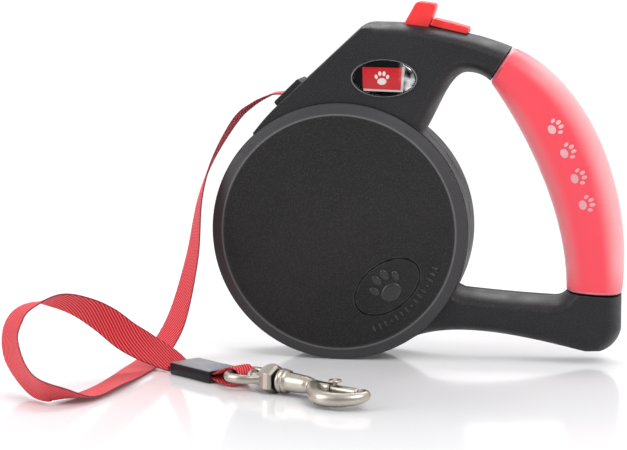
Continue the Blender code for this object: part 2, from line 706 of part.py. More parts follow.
def smooth_course(rows, steps):
    """Refines (middle, across) rows into a flowing course."""
    rows = [(Vector(middle), Vector(across).normalized()) for middle, across in rows]
    out = []
    for i in range(len(rows) - 1):
        near = [rows[max(i - 1, 0)], rows[i], rows[i + 1], rows[min(i + 2, len(rows) - 1)]]
        for k in range(steps):
            middle, across = (through(*[row[part] for row in near], k / steps) for part in (0, 1))
            out.append((middle, across.normalized()))
    out.append(rows[-1])
    return out


def sleeve_axes():
    along = (SLEEVE_END - SLEEVE_START).normalized()
    across = along.cross(Vector((0, 0, 1))).normalized()
    return along, across, across.cross(along)


def tapes():
    """The strip at the nozzle, the run down to the floor, the loop and the sewn eye at the hook."""
    flat = Vector((0.0, -1.0, 0.0))
    run = ((18.9, 36.4), (0.0, 46.1), (-15.2, 53.9), (-17.6, NOZZLE_Z))
    inside = [(Vector((x, 0.0, z)), flat) for x, z in run]
    strip("tape_run", inside, (0, 0, 0))
    mouth = [(Vector((x, 0.0, NOZZLE_Z)), flat) for x in (-18.2, -22.0, -26.0)]
    mouth.append((Vector((-29.6, -0.5, 54.2)), flat))
    strip("tape_exit", mouth, mouth[0][0])

    along, across, up = sleeve_axes()
    entry = tuple((SLEEVE_START - along * back, across) for back in (3.6, 0.7))
    sections = strip_sections(smooth_course(TAPE_COURSE + entry, COURSE_STEPS))
    split = LOOP_FROM * COURSE_STEPS
    loft("tape_lead", sections[: split + 1], "tape_red", TAPE_COURSE[0][0])
    ahead = sum((after - here for here, after in zip(sections[split - 1], sections[split + 1])), Vector())
    sections[split] = [corner + ahead.normalized() * GAP for corner in sections[split]]
    loft("tape_loop", sections[split:], "tape_red", TAPE_COURSE[LOOP_FROM][0])

    rise = Vector((0.0, 0.0, 0.06))
    over, under = [], []
    for d, z in ((-9.0, 0.95), (-1.0, 1.0), (4.0, 2.4), (9.0, 3.4), (12.3, 2.6), (13.9, 1.3)):
        middle = SLEEVE_END + along * d + rise * max(d, 0.0)
        over.append((middle + up * z, across))
        under.append((middle - up * z, across))
    tip = SLEEVE_END + along * FOLD_REACH + rise * FOLD_REACH
    strip("tape_eye_fold", over + [(tip, across)] + under[::-1], SLEEVE_END, FOLD_W)


def eight_corners(w, h, bevel):
    """A rectangle with bevelled corners, as half width, half height and bevel."""
    quarter = ((w, h - bevel), (w - bevel, h))
    left = [(-x, z) for x, z in reversed(quarter)]
    below = [(-x, -z) for x, z in quarter]
    right = [(x, -z) for x, z in reversed(quarter)]
    return [*quarter, *left, *below, *right]


def tape_sleeve():
    """The moulded block over the sewn tape: a rectangular tube with bevelled edges."""
    along, across, up = sleeve_axes()
    bevel = 0.7
    ends = (
        (SLEEVE_START, bevel), (SLEEVE_START + along * bevel, 0.0), (SLEEVE_END - along * bevel, 0.0),
        (SLEEVE_END, bevel),
    )
    loops = []
    for middle, less in ends:
        corners = eight_corners(SLEEVE_W / 2.0 - less, SLEEVE_H / 2.0 - less, bevel)
        loops.append([middle + across * x + up * z for x, z in corners])
    for middle in (SLEEVE_END, SLEEVE_START):
        corners = eight_corners(TAPE_W / 2.0 + GAP, 1.75, 0.4)
        loops.append([middle + across * x + up * z for x, z in corners])
    loft("tape_sleeve", loops, "sleeve_plastic", SLEEVE_START, wrap=True)


# ---------------------------------------------------------------- snap hook


def hook_point(along, side=0.0, up=0.0):
    """A point in the hook's own directions: along its axis, towards the bow and upwards."""
    return HOOK_AT + HOOK_DIR * along + HOOK_SIDE * side + Vector((0.0, 0.0, up))


def bow_point(along, out):
    return hook_point(along, out * math.cos(BOW_TILT), -out * math.sin(BOW_TILT))


def hook_lathe(name, profile, slot, segments, origin, wrap=False):
    """Turns (along, radius) points about the hook's axis."""
    loops = []
    for s, r in profile:
        loops.append([hook_point(s, x, z) for x, z in circle((0.0, 0.0), r, segments)])
    return loft(name, loops, slot, origin, wrap)


def sweep(name, path, radii, slot, origin, sides=10, flatten=1.0):
    """A round bar along a path of points, level across it by flatten."""
    loops = []
    for i, at in enumerate(path):
        ahead = (path[min(i + 1, len(path) - 1)] - path[max(i - 1, 0)]).normalized()
        across = ahead.cross(Vector((0, 0, 1))).normalized()
        up = across.cross(ahead)
        ring = circle((0.0, 0.0), radii[i], sides)
        loops.append([at + across * flatten * x + up * z for x, z in ring])
    return loft(name, loops, slot, origin)


def smooth_points(rows, steps):
    rows = [Vector(row) for row in rows]
    out = []
    for i in range(len(rows) - 1):
        near = [rows[max(i - 1, 0)], rows[i], rows[i + 1], rows[min(i + 2, len(rows) - 1)]]
        out.extend(through(*near, k / steps) for k in range(steps))
    return out + [rows[-1]]


def swivel_eye():
    """The D shaped eye that the tape is sewn around, with its flared collar."""
    bar = hook_point(BAR_AT)
    collar = ((-9.4, 2.7), (-8.0, 3.5), (-5.6, 4.7), (-3.4, 5.15), (-1.4, 5.15), (-0.6, 4.5))
    eye = hook_lathe("swivel_eye", collar, "hook_metal", 16, bar)
    rows = (
        (-7.4, 2.4), (-9.4, 5.4), (-11.6, 7.8), (-14.6, 8.8), (-17.6, 8.6), (BAR_AT, 6.8), (BAR_AT, 0.0),
    )
    half = smooth_points([(s, w, 0.0) for s, w in rows], 3)
    path = [hook_point(p.x, p.y) for p in half] + [hook_point(p.x, -p.y) for p in reversed(half[:-1])]
    boolean(eye, sweep("eye_ring", path, [1.6] * len(path), None, bar, 8, 0.85), "UNION")
    boolean(eye, hook_lathe("eye_bore", ((-12.0, 2.1), (1.0, 2.1)), None, 14, bar))


def swivel_rivet():
    profile = ((-11.2, 2.0), (-10.9, 2.5), (-9.8, 2.6), (-9.8, 1.8), (4.2, 1.8), (4.5, 1.5))
    hook_lathe("swivel_rivet", profile, "steel", 14, HOOK_AT)


def hook_body():
    """The barrel with its two collar rings and the curved bow."""
    profile = (
        (0.6, 4.5), (1.1, 5.1), (2.7, 5.15), (3.2, 4.5), (3.7, 4.5), (4.2, 5.0), (5.5, 4.9),
        (6.3, 3.95), (8.0, 3.7), (15.0, 3.6), (24.0, 3.3), (26.0, 2.9),
    )
    body = hook_lathe("hook_body", profile, "hook_metal", 20, HOOK_AT)
    rows = (
        (10.0, 1.4), (15.0, 3.4), (20.0, 6.6), (25.5, 9.4), (31.5, 10.2), (37.5, 9.0),
        (42.0, 6.0), (43.9, 2.6), (43.2, 0.3), (41.0, 0.0),
    )
    radii = (2.2, 3.2, 3.2, 2.9, 2.7, 2.6, 2.4, 2.1, 1.9, 1.9)
    half = smooth_points([(s, w, r) for (s, w), r in zip(rows, radii)], 2)
    path = [bow_point(p.x, p.y) for p in half]
    level = HOOK_DIR.cross(HOOK_SIDE)
    upright = (Matrix.Rotation(-BOW_TILT, 3, HOOK_DIR) @ level).normalized()
    loops = []
    for i, at in enumerate(path):
        ahead = (path[min(i + 1, len(path) - 1)] - path[max(i - 1, 0)]).normalized()
        across = ahead.cross(upright).normalized()
        loops.append([at + across * x + upright * z for x, z in circle((0.0, 0.0), half[i].z, 12)])
    boolean(body, loft("hook_bow", loops, None, HOOK_AT), "UNION")
    bore, seat = BOLT_R + GAP, 2.1
    boolean(body, hook_lathe("hook_bore", ((SPRING_SEAT, bore), (30.0, bore)), None, 14, HOOK_AT))
    boolean(body, hook_lathe("rivet_socket", ((0.0, seat), (4.9, seat)), None, 14, HOOK_AT))
    slot = ((19.8, -1.3), (30.0, -1.3), (30.0, 1.3), (19.8, 1.3))
    loops = [[hook_point(s, side, up) for s, side in slot] for up in (0.0, 6.0)]
    boolean(body, loft("knob_slot", loops, None, HOOK_AT))


def hook_bolt():
    """The sliding bolt that closes the bow, its thumb knob and the spring behind it."""
    at = hook_point(BOLT_BACK)
    profile = (
        (BOLT_BACK, BOLT_R - 0.3), (BOLT_BACK + 0.3, BOLT_R), (BOLT_TIP - 0.6, BOLT_R),
        (BOLT_TIP, BOLT_R - 0.6),
    )
    bolt = hook_lathe("hook_bolt", profile, "hook_metal", 14, at)
    boolean(bolt, upright_lathe("knob_socket", ((0.0, 1.1), (3.0, 1.1)), None, at))
    knob = ((0.3, 0.8), (3.2, 0.8), (3.3, 1.9), (4.3, 1.9), (4.8, 1.3))
    upright_lathe("bolt_knob", knob, "hook_metal", hook_point(KNOB_AT))


def upright_lathe(name, profile, slot, origin):
    """Turns (height, radius) points about the upright line through the knob's place."""
    loops = []
    for height, r in profile:
        loops.append([hook_point(KNOB_AT + x, z, height) for x, z in circle((0.0, 0.0), r, 12)])
    return loft(name, loops, slot, origin)


def bolt_spring():
    """The coil in the barrel that pushes the bolt shut."""
    turns, per_turn, radius, wire = 5, 8, 1.25, 0.26
    low, high = SPRING_SEAT + GAP + wire, BOLT_BACK - GAP - wire
    coils = turns * per_turn
    loops = []
    for i in range(coils + 1):
        angle = 2.0 * math.pi * i / per_turn
        s = low + (high - low) * i / coils
        c, n = math.cos(angle), math.sin(angle)
        steps = ((wire, 0.0), (0.0, wire), (-wire, 0.0), (0.0, -wire))
        loops.append([hook_point(s + ds, (radius + dr) * c, (radius + dr) * n) for dr, ds in steps])
    loft("bolt_spring", loops, "spring_steel", hook_point(low))


def build():
    clear_scene()
    holder()
    front_casing()
    rear_casing()
    casing_screws()
    disc_cover("front_cover", -1)
    disc_cover("rear_cover", 1)
    badge()
    gel_sleeve()
    grip_core()
    spool_axle()
    spool()
    ratchet_flange()
    tape_coil()
    mainspring()
    spring_cover()
    washers()
    brake_button()
    lock_slider()
    brake_pawl()
    brake_spring()
    brake_and_guide_pins()
    exit_guide()
    tapes()
    tape_sleeve()
    swivel_eye()
    swivel_rivet()
    hook_body()
    hook_bolt()
    bolt_spring()


build()
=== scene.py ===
"""The looks of the retractable leash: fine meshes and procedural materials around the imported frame.

X runs towards the grip, Z is up and -Y is the badge side. Lengths below are in millimetres, measured
from the spool axis half way through the casing, which MIDDLE places in the frame.
"""

from math import atan2, copysign, cos, degrees, pi, radians, sin

import bmesh
import bpy
from mathutils import Matrix, Vector


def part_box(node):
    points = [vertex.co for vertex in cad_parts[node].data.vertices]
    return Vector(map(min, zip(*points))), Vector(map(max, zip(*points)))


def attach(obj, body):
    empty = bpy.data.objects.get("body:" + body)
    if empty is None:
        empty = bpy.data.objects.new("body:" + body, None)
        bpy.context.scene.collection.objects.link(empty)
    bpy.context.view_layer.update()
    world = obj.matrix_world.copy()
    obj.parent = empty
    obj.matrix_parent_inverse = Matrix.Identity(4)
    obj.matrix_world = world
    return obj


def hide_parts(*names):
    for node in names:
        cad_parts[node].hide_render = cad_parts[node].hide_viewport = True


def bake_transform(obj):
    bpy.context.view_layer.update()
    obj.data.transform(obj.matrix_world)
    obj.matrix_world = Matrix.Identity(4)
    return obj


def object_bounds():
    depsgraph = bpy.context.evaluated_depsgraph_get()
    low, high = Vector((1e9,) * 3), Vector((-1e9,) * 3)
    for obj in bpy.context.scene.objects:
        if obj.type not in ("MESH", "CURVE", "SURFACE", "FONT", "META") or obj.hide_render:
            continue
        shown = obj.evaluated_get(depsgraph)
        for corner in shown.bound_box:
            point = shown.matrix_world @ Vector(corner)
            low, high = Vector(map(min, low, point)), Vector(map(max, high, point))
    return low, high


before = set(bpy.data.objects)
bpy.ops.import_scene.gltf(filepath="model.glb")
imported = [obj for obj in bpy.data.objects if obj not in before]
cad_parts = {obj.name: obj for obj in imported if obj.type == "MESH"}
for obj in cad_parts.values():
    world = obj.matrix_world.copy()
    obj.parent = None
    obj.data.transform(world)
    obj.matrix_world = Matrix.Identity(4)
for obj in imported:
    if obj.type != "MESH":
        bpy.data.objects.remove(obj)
CAD_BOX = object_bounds()

MM = 0.001
GAP = 0.3
MIDDLE = (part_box("front_cover")[0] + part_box("rear_cover")[1]) / 2.0

# Casing; SLANT, TENON and LOCK are a start and a direction, from which stepped() measures
DISC_R = 52.2
CASE_HALF = 13.0
LIP_AT = CASE_HALF + 0.35
SEAM = 0.15
CAVITY_HALF = 10.8
CAVITY_R = 49.5
EDGE_ROUND = 6.0
SLANT_LOW = (-36.1, 39.3)
SLANT_TOP = (7.6, 82.2)
SLANT = ((-21.8, 55.4), Vector((44.9, 44.0)).normalized())
TENON = ((63.4, 67.5), (-0.846, 0.533))
GRIP_TOP_OUT = (67.7, 74.3)
GRIP_TOP_IN = (59.2, 60.8)
GRIP_LOW_IN = (90.9, -23.3)
GRIP_LOW_OUT = (113.0, -24.5)
SCREWS = ((-27.5, 42.0), (7.0, 75.5), (50.3, 69.3), (29.5, 46.5), (53.0, -32.0), (103.5, -39.0))
SCREW_R = 1.0
HEAD_R = 2.4

# Covers, badge and the raised marks
COVER_R = 52.0
COVER_FACE_R = 47.5
COVER_EDGE = 14.8
COVER_FACE = 16.5
BADGE = (18.0, 62.1)
BADGE_A = 13.2
BADGE_B = 7.5
OVAL_AT = (20.0, -21.5)
OVAL_A = 15.0
OVAL_B = 9.3
OVAL_TURN = 38.0
MARK_BARS = 15
MARK_BARS_R = 41.6

# Grip
GRIP_SIDES = 96
GRIP_ROWS = 90
GEL_HALF = 12.5
GEL_WALL = 3.2
CORE_HALF = 8.6

# Buttons
BUTTON_HALF = 5.0
PUSH = Vector((-0.405, 0.0, -0.914)).normalized()
LEG_TIP = (18.3, 56.4)
LOCK = ((43.0, 81.85), (0.976, -0.218))

# Tape
TAPE_W = 12.0
TAPE_T = 0.8
NOZZLE_Z = 54.7
NOZZLE_HALF = 8.6
NOZZLE_SLOT = (6.6, 1.5)
RIBBON_COLUMNS = 48
RIB_PITCH = 1.05
RIB_ANGLE = radians(24.0)
RIB_HIGH = 0.05
PICK_PITCH = 0.42

# Snap hook
HOOK_AT = Vector((-14.3, -81.0, -47.0))
HOOK_DIR = Vector((0.88, -0.475, 0.0)).normalized()
HOOK_SIDE = Vector((-0.475, -0.88, 0.0)).normalized()
BOW_TILT = radians(8.0)
EYE_END = -18.7
EYE_BAR_R = 1.75
RIVET_WAY_R = 2.1
BOLT_R = 1.7
BOLT_BACK = 16.0
BOLT_TIP = 39.7
KNOB_AT = 29.0

# Sleeve
SLEEVE_START = Vector((-56.2, -48.6, -49.7))
SLEEVE_END = Vector((-36.8, -64.8, -49.5))
SLEEVE_W = 14.6
SLEEVE_H = 4.8
SLEEVE_ROUND = 0.75
SLEEVE_BORE = (TAPE_W / 2.0 + GAP, 1.75)
FOLD_REACH = 13.7
FOLD_W = 11.4

# The tape as it lies: middle of the strip, then the direction across its width
TAPE_COURSE = (
    ((-30.4, -0.6, 53.8), (0.0, -1.0, 0.0)),
    ((-37.0, -2.8, 50.2), (0.1, -1.0, 0.15)),
    ((-44.0, -5.8, 43.6), (0.05, -1.0, 0.2)),
    ((-52.6, -10.5, 27.7), (0.16, -1.0, 0.13)),
    ((-56.8, -16.0, 12.0), (0.34, -0.94, 0.09)),
    ((-58.9, -22.0, -11.3), (0.6, -0.8, 0.07)),
    ((-64.6, -26.5, -35.8), (0.74, -0.66, -0.13)),
    ((-71.6, -35.0, -49.0), (0.85, -0.52, -0.06)),
    ((-75.2, -58.0, -51.4), (0.98, -0.18, 0.0)),
    ((-77.4, -86.0, -50.6), (0.98, -0.15, 0.13)),
    ((-82.8, -107.0, -50.5), (0.91, -0.4, 0.12)),
    ((-91.5, -116.5, -46.9), (0.08, -0.71, 0.7)),
    ((-103.4, -105.5, -44.9), (0.08, -0.35, 0.93)),
    ((-113.9, -91.0, -36.0), (0.59, -0.39, 0.71)),
    ((-114.4, -84.5, -27.0), (0.76, -0.63, 0.15)),
    ((-108.5, -81.0, -21.3), (0.5, -0.86, 0.07)),
    ((-100.0, -75.5, -20.2), (0.58, -0.61, 0.54)),
    ((-92.0, -67.6, -24.0), (0.74, -0.28, 0.61)),
    ((-85.5, -59.0, -30.3), (0.7, -0.01, 0.71)),
    ((-77.6, -54.0, -38.0), (0.5, 0.28, 0.82)),
    ((-67.4, -48.0, -45.2), (0.19, 0.71, 0.68)),
)
LOOP_FROM = 8
COURSE_STEPS = 20

# Studio
WHITE = (1.0, 1.0, 1.0, 1.0)
BACKDROP = 1.05
FLOOR_HALF = 14000.0
AIM = (-12.7, 0.0, 0.6)
CAMERA_TURN = radians(9.5)
CAMERA_RISE = radians(8.0)
CAMERA_AWAY = 900.0
CAMERA_LENS = 126.0


# ------------------------ materials


class Nodes:
    """A node tree being built: each method adds what it names and returns its output."""

    def __init__(self, tree):
        self.tree = tree

    def node(self, kind, inputs=None, output=0, **settings):
        node = self.tree.nodes.new("ShaderNode" + kind)
        for key, value in settings.items():
            setattr(node, key, value)
        for key, value in (inputs or {}).items():
            self.feed(node.inputs[key], value)
        return node.outputs[output]

    def feed(self, socket, value):
        if isinstance(value, bpy.types.NodeSocket):
            self.tree.links.new(value, socket)
        else:
            socket.default_value = value

    def place(self):
        return self.node("TexCoord", output="Object")

    def split(self, vector):
        node = self.tree.nodes.new("ShaderNodeSeparateXYZ")
        self.feed(node.inputs[0], vector)
        return node.outputs

    def length(self, vector):
        return self.node("VectorMath", {0: vector}, "Value", operation="LENGTH")

    def noise(self, scale, detail=2.0, vector=None):
        inputs = {"Scale": scale, "Detail": detail, "Vector": vector or self.place()}
        return self.node("TexNoise", inputs, "Fac")

    def maths(self, operation, a, b=0.0, c=0.0, clamp=False):
        return self.node("Math", {0: a, 1: b, 2: c}, operation=operation, use_clamp=clamp)

    def times(self, a, b):
        return self.maths("MULTIPLY", a, b)

    def span(self, value, low, high, to_low=0.0, to_high=1.0, kind="SMOOTHSTEP"):
        names = {"Value": value, "From Min": low, "From Max": high, "To Min": to_low, "To Max": to_high}
        return self.node("MapRange", names, interpolation_type=kind)

    def uneven(self, scale, detail, low, high):
        """Soft patches between two values."""
        return self.span(self.noise(scale, detail), 0.3, 0.7, low, high)

    def mix(self, share, a, b):
        node = self.tree.nodes.new("ShaderNodeMix")
        node.data_type = "RGBA"
        for index, value in ((0, share), (6, a), (7, b)):
            self.feed(node.inputs[index], value)
        return node.outputs[2]


class Paint(Nodes):
    """A material being built on Blender's standard shader."""

    def __init__(self, name):
        self.made = bpy.data.materials.new(name)
        self.made.use_nodes = True
        super().__init__(self.made.node_tree)
        self.shader = self.tree.nodes["Principled BSDF"]
        self.output = self.tree.nodes["Material Output"]

    def set(self, **inputs):
        for key, value in inputs.items():
            self.feed(self.shader.inputs[key.replace("_", " ").title().replace("Ior", "IOR")], value)

    def bump(self, height, depth, strength=1.0, normal=None):
        inputs = {"Height": height, "Distance": depth * MM, "Strength": strength}
        if normal:
            inputs["Normal"] = normal
        return self.node("Bump", inputs)

    def attribute(self, name):
        return self.node("Attribute", output="Fac", attribute_name=name)

    def facing(self, blend):
        return self.node("LayerWeight", {"Blend": blend}, "Facing")

    def flatness(self, radius):
        """1 on a flat face, and less where the surface turns within the radius, in millimetres."""
        turned = self.node("Bevel", {"Radius": radius * MM}, samples=4)
        flat = self.node("NewGeometry", output="Normal")
        return self.node("VectorMath", {0: turned, 1: flat}, "Value", operation="DOT_PRODUCT")


def rgb(red, green, blue):
    """A colour given as the eye sees it, 0 to 255, as the shaders need it."""
    shares = (red / 255.0, green / 255.0, blue / 255.0)
    return (*(c / 12.92 if c <= 0.04045 else ((c + 0.055) / 1.055) ** 2.4 for c in shares), 1.0)


def moulded_plastic(name, dark, light, rough, grain=0.05, shine=0.3, band=0.0, flecks=0.16, painted_top_sheen=0.0):
    """Matt moulded plastic: fine spark-eroded grain, soft cloudiness and pale rubbed edges.

    band paints a pale sheen onto the bevelled ring outside the cover's face and a thin highlight along
    the bead at its inner edge, and painted_top_sheen paints a pale sheen onto faces that look up.
    """
    paint = Paint(name)
    colour = paint.mix(paint.uneven(22.0, 4.0, 0.0, 1.0), dark, light)
    fleck = paint.span(paint.noise(2000.0, 1.0), 0.45, 0.75)
    colour = paint.mix(paint.times(fleck, flecks), colour, rgb(96, 96, 100))
    if painted_top_sheen:
        # Painted sheen: faces that look up are painted paler and bluish, for the grazing reflection they
        # catch; the coat adds real gloss.
        upward = paint.split(paint.node("NewGeometry", output="Normal"))["Z"]
        colour = paint.mix(paint.span(upward, 0.5, 0.95, 0.0, painted_top_sheen), colour, rgb(180, 181, 190))
        paint.set(coat_weight=painted_top_sheen / 3.0, coat_roughness=0.22)
    if band:
        # Painted sheen: the bevelled ring outside the cover's face is painted paler, for the light it
        # reflects.
        parts = paint.split(paint.place())
        reach = paint.length(paint.node("CombineXYZ", {0: parts["X"], 1: parts["Z"]}))
        ring = paint.span(reach, (COVER_FACE_R - 0.9) * MM, (COVER_FACE_R + 0.1) * MM, 0.0, band)
        colour = paint.mix(ring, colour, rgb(72, 71, 73))
        # Painted highlight: a thin pale line along the bead at the ring's inner edge, where it catches
        # light.
        line = paint.maths("ABSOLUTE", paint.maths("SUBTRACT", reach, COVER_FACE_R * MM))
        colour = paint.mix(paint.span(line, 0.55 * MM, 0.1 * MM, 0.0, band), colour, rgb(112, 110, 110))
    rubbed = paint.span(paint.flatness(0.5), 0.995, 0.9)
    rubbed = paint.times(rubbed, paint.span(paint.noise(260.0, 4.0), 0.35, 0.6))
    colour = paint.mix(paint.times(rubbed, 0.45), colour, rgb(112, 112, 114))
    relief = paint.bump(paint.noise(2600.0, 2.0), grain, 0.9)
    relief = paint.bump(paint.noise(800.0, 2.0), 0.03, 0.4, relief)
    paint.set(base_color=colour, normal=relief, specular_ior_level=shine)
    paint.set(roughness=paint.uneven(130.0, 3.0, rough - 0.06, rough + 0.08))
    return paint.made


def gloss_black():
    """Polished black with faint dust and hairline scratches."""
    paint = Paint("gloss_black_lacquer")
    dust = paint.span(paint.noise(1800.0, 3.0), 0.66, 0.8)
    paint.set(base_color=paint.mix(dust, rgb(5, 5, 6), rgb(13, 13, 14)))
    paint.set(roughness=paint.span(paint.noise(300.0, 4.0), 0.4, 0.7, 0.05, 0.12), specular_ior_level=0.12)
    paint.set(normal=paint.bump(paint.noise(120.0, 1.0), 0.005, 0.2))
    return paint.made


def printed(name, dark, light):
    """Ink on card: a fine dot screen under a satin varnish."""
    paint = Paint(name)
    dots = paint.node("TexVoronoi", {"Vector": paint.place(), "Scale": 3500.0}, "Distance")
    shade = paint.mix(paint.span(dots, 0.1, 0.6), light, dark)
    paint.set(base_color=paint.mix(paint.uneven(90.0, 2.0, 0.0, 0.25), shade, dark))
    paint.set(roughness=paint.uneven(700.0, 2.0, 0.28, 0.4))
    paint.set(normal=paint.bump(dots, 0.01, 0.3))
    return paint.made


def clear_window():
    """A clear dome: see-through face on, with a soft reflection over its right end and at its rim."""
    paint = Paint("clear_dome")
    scratches = paint.span(paint.noise(420.0, 3.0), 0.55, 0.7, 0.1, 0.16)
    gloss = paint.node("BsdfAnisotropic", {"Color": WHITE, "Roughness": scratches})
    clear = paint.node("BsdfTransparent", {"Color": (0.96, 0.96, 0.97, 1.0)})
    right = paint.span(paint.split(paint.place())["X"], (BADGE[0] + 5.5) * MM, (BADGE[0] + 10.5) * MM)
    cloud = paint.span(paint.noise(190.0, 1.0), 0.42, 0.6, 0.0, 0.5)
    turned = paint.span(paint.facing(0.22), 0.03, 0.4, 0.0, 0.6)
    share = paint.maths("MAXIMUM", paint.times(right, cloud), turned)
    both = paint.node("MixShader", {0: share, 1: clear, 2: gloss})
    paint.feed(paint.output.inputs["Surface"], both)
    return paint.made


def gel(name, core, edge):
    """Frosted gel over a red core: saturated where the core shows through, pale at its edges, partly
    painted highlight.

    The mesh carries "side", from -1 at the inside of the grip to 1 at its outside, "length", from
    0 at its top end to 1 at its low end, and "rim", which is 1 at the lips.
    """
    paint = Paint(name)
    side = paint.maths("ADD", paint.attribute("side"), paint.uneven(28.0, 2.0, -0.04, 0.04))
    # Pale edges, partly painted highlight: the pale band is wider on the outer side than on the inner side,
    # for light falling from the right.
    outer, inner = paint.span(side, 0.3, 0.96), paint.span(side, -0.35, -1.0, 0.0, 0.6)
    milky_and_painted_light = paint.maths("ADD", outer, inner, clamp=True)
    milky_and_painted_light = paint.maths("MAXIMUM", milky_and_painted_light, paint.span(paint.facing(0.5), 0.5, 0.9, 0.0, 0.9))
    length = paint.attribute("length")
    top_end, low_end = paint.span(length, 0.0, 0.2, 0.15, 1.0), paint.span(length, 1.0, 0.88, 0.35, 1.0)
    milky_and_painted_light = paint.times(milky_and_painted_light, paint.times(top_end, low_end))
    colour = paint.mix(milky_and_painted_light, core, edge)
    deep = paint.span(paint.noise(16.0, 1.0), 0.4, 0.7, 0.0, 0.3)
    colour = paint.mix(deep, colour, paint.mix(milky_and_painted_light, rgb(236, 78, 96), edge))
    colour = paint.mix(paint.attribute("rim"), colour, rgb(222, 150, 160))
    paint.set(base_color=colour, subsurface_weight=0.4, subsurface_scale=3.0 * MM)
    paint.shader.inputs["Subsurface Radius"].default_value = (1.0, 0.35, 0.3)
    paint.set(roughness=paint.uneven(240.0, 3.0, 0.38, 0.5), specular_ior_level=0.35)
    relief = paint.bump(paint.noise(900.0, 2.0), 0.02, 0.5)
    paint.set(normal=paint.bump(paint.noise(60.0, 1.0), 0.1, 0.3, relief))
    return paint.made


def button_plastic():
    """Bright satin red plastic with fine grain and softly rubbed edges."""
    paint = Paint("button_red_plastic")
    colour = paint.mix(paint.uneven(120.0, 3.0, 0.0, 1.0), rgb(232, 34, 38), rgb(248, 52, 54))
    colour = paint.mix(paint.span(paint.flatness(0.6), 0.999, 0.93, 0.0, 0.35), colour, rgb(255, 130, 120))
    grain = paint.noise(2200.0, 2.0)
    paint.set(base_color=colour, subsurface_weight=0.12, subsurface_scale=1.5 * MM)
    paint.set(roughness=paint.span(grain, 0.3, 0.7, 0.36, 0.5))
    paint.set(normal=paint.bump(grain, 0.03, 0.5))
    return paint.made


def tape_weave(name, placed):
    """Red twill webbing: diagonal ribs of bright and deep yarn, crossed by fine picks, with dark edges.

    placed is True where the strip's own coordinates come with the mesh, in millimetres; otherwise
    the strip runs along X with its width along Y.
    """
    paint = Paint(name)
    if placed:
        parts = paint.split(paint.node("UVMap", uv_map="strip"))
        across, along = parts["X"], parts["Y"]
    else:
        parts = paint.split(paint.place())
        across = paint.times(paint.maths("SUBTRACT", parts["Y"], MIDDLE.y), 1.0 / MM)
        along = paint.times(parts["X"], 1.0 / MM)
    turn = 2.0 * pi / RIB_PITCH
    along_phase = paint.times(along, turn * sin(RIB_ANGLE))
    phase = paint.maths("ADD", paint.times(across, turn * cos(RIB_ANGLE)), along_phase)
    rib = paint.maths("MULTIPLY_ADD", paint.maths("SINE", phase), 0.5, 0.5)
    yarn = paint.noise(1.6, 3.0, paint.node("CombineXYZ", {0: across, 1: along}))
    pick = paint.maths("SINE", paint.times(along, 2.0 * pi / PICK_PITCH))
    pick = paint.maths("MULTIPLY_ADD", pick, 0.5, 0.5)
    body = paint.mix(paint.span(rib, 0.1, 0.6), rgb(164, 6, 28), rgb(226, 36, 50))
    body = paint.mix(paint.span(rib, 0.66, 0.98, 0.0, 0.75), body, rgb(252, 128, 132))
    body = paint.mix(paint.times(pick, 0.16), body, rgb(160, 14, 34))
    body = paint.mix(paint.span(yarn, 0.35, 0.7, 0.0, 0.2), body, rgb(240, 88, 96))
    edge = paint.span(paint.maths("ABSOLUTE", across), TAPE_W / 2.0 - 0.5, TAPE_W / 2.0 - 0.15)
    body = paint.mix(paint.times(edge, 0.75), body, rgb(104, 20, 48))
    height = paint.maths("ADD", rib, paint.times(pick, 0.3))
    height = paint.maths("ADD", height, paint.times(yarn, 0.4))
    paint.set(base_color=body, roughness=paint.span(yarn, 0.3, 0.7, 0.55, 0.8))
    paint.set(sheen_weight=0.1, sheen_roughness=0.4, specular_ior_level=0.35)
    paint.set(normal=paint.bump(height, 0.12, 0.8))
    return paint.made


def nickel(name, light, dark, rough):
    """Satin nickel: fine tumbling marks, slightly yellowed, with painted shade darkening the hollows."""
    paint = Paint(name)
    hollow = paint.node("AmbientOcclusion", {"Distance": 4.0 * MM}, "AO", samples=6)
    colour = paint.mix(paint.uneven(90.0, 2.0, 0.0, 0.3), light, paint.mix(0.4, light, dark))
    # Painted shade: the colour darkens to the dark brown where ambient occlusion finds hollows and
    # crevices.
    colour = paint.mix(paint.span(hollow, 0.7, 0.2, 0.0, 0.8), colour, dark)
    paint.set(base_color=colour, metallic=1.0)
    paint.set(roughness=paint.uneven(300.0, 2.0, rough - 0.04, rough + 0.05))
    relief = paint.bump(paint.noise(2200.0, 3.0), 0.006, 0.5)
    paint.set(normal=paint.bump(paint.noise(160.0, 1.0), 0.02, 0.2, relief))
    return paint.made


def pale_floor():
    """A glossy pale floor that fades to plain white away from the object."""
    paint = Paint("pale_floor")
    tone = paint.uneven(3.0, 2.0, 0.0, 0.2)
    paint.set(base_color=paint.mix(tone, rgb(232, 232, 233), rgb(228, 228, 230)))
    paint.set(roughness=0.1, specular_ior_level=0.5)
    paint.set(emission_color=WHITE, emission_strength=0.05)
    white = paint.node("Emission", {"Color": WHITE, "Strength": BACKDROP})
    fade = paint.span(paint.length(paint.place()), 160.0 * MM, 420.0 * MM)
    far = paint.node("MixShader", {0: fade, 1: paint.shader.outputs[0], 2: white})
    paint.feed(paint.output.inputs["Surface"], far)
    return paint.made


# ------------------------ mesh helpers


def add_mesh(name, bm, paint=None, sharp=35.0):
    """Makes an object from a mesh in millimetres, with its own origin at the middle of the casing."""
    bmesh.ops.recalc_face_normals(bm, faces=bm.faces)
    bmesh.ops.scale(bm, verts=bm.verts, vec=(MM, MM, MM))
    mesh = bpy.data.meshes.new(name)
    bm.to_mesh(mesh)
    bm.free()
    made = add_object(name, mesh, MIDDLE)
    if paint:
        mesh.materials.append(paint)
    smooth(made, sharp)
    return made


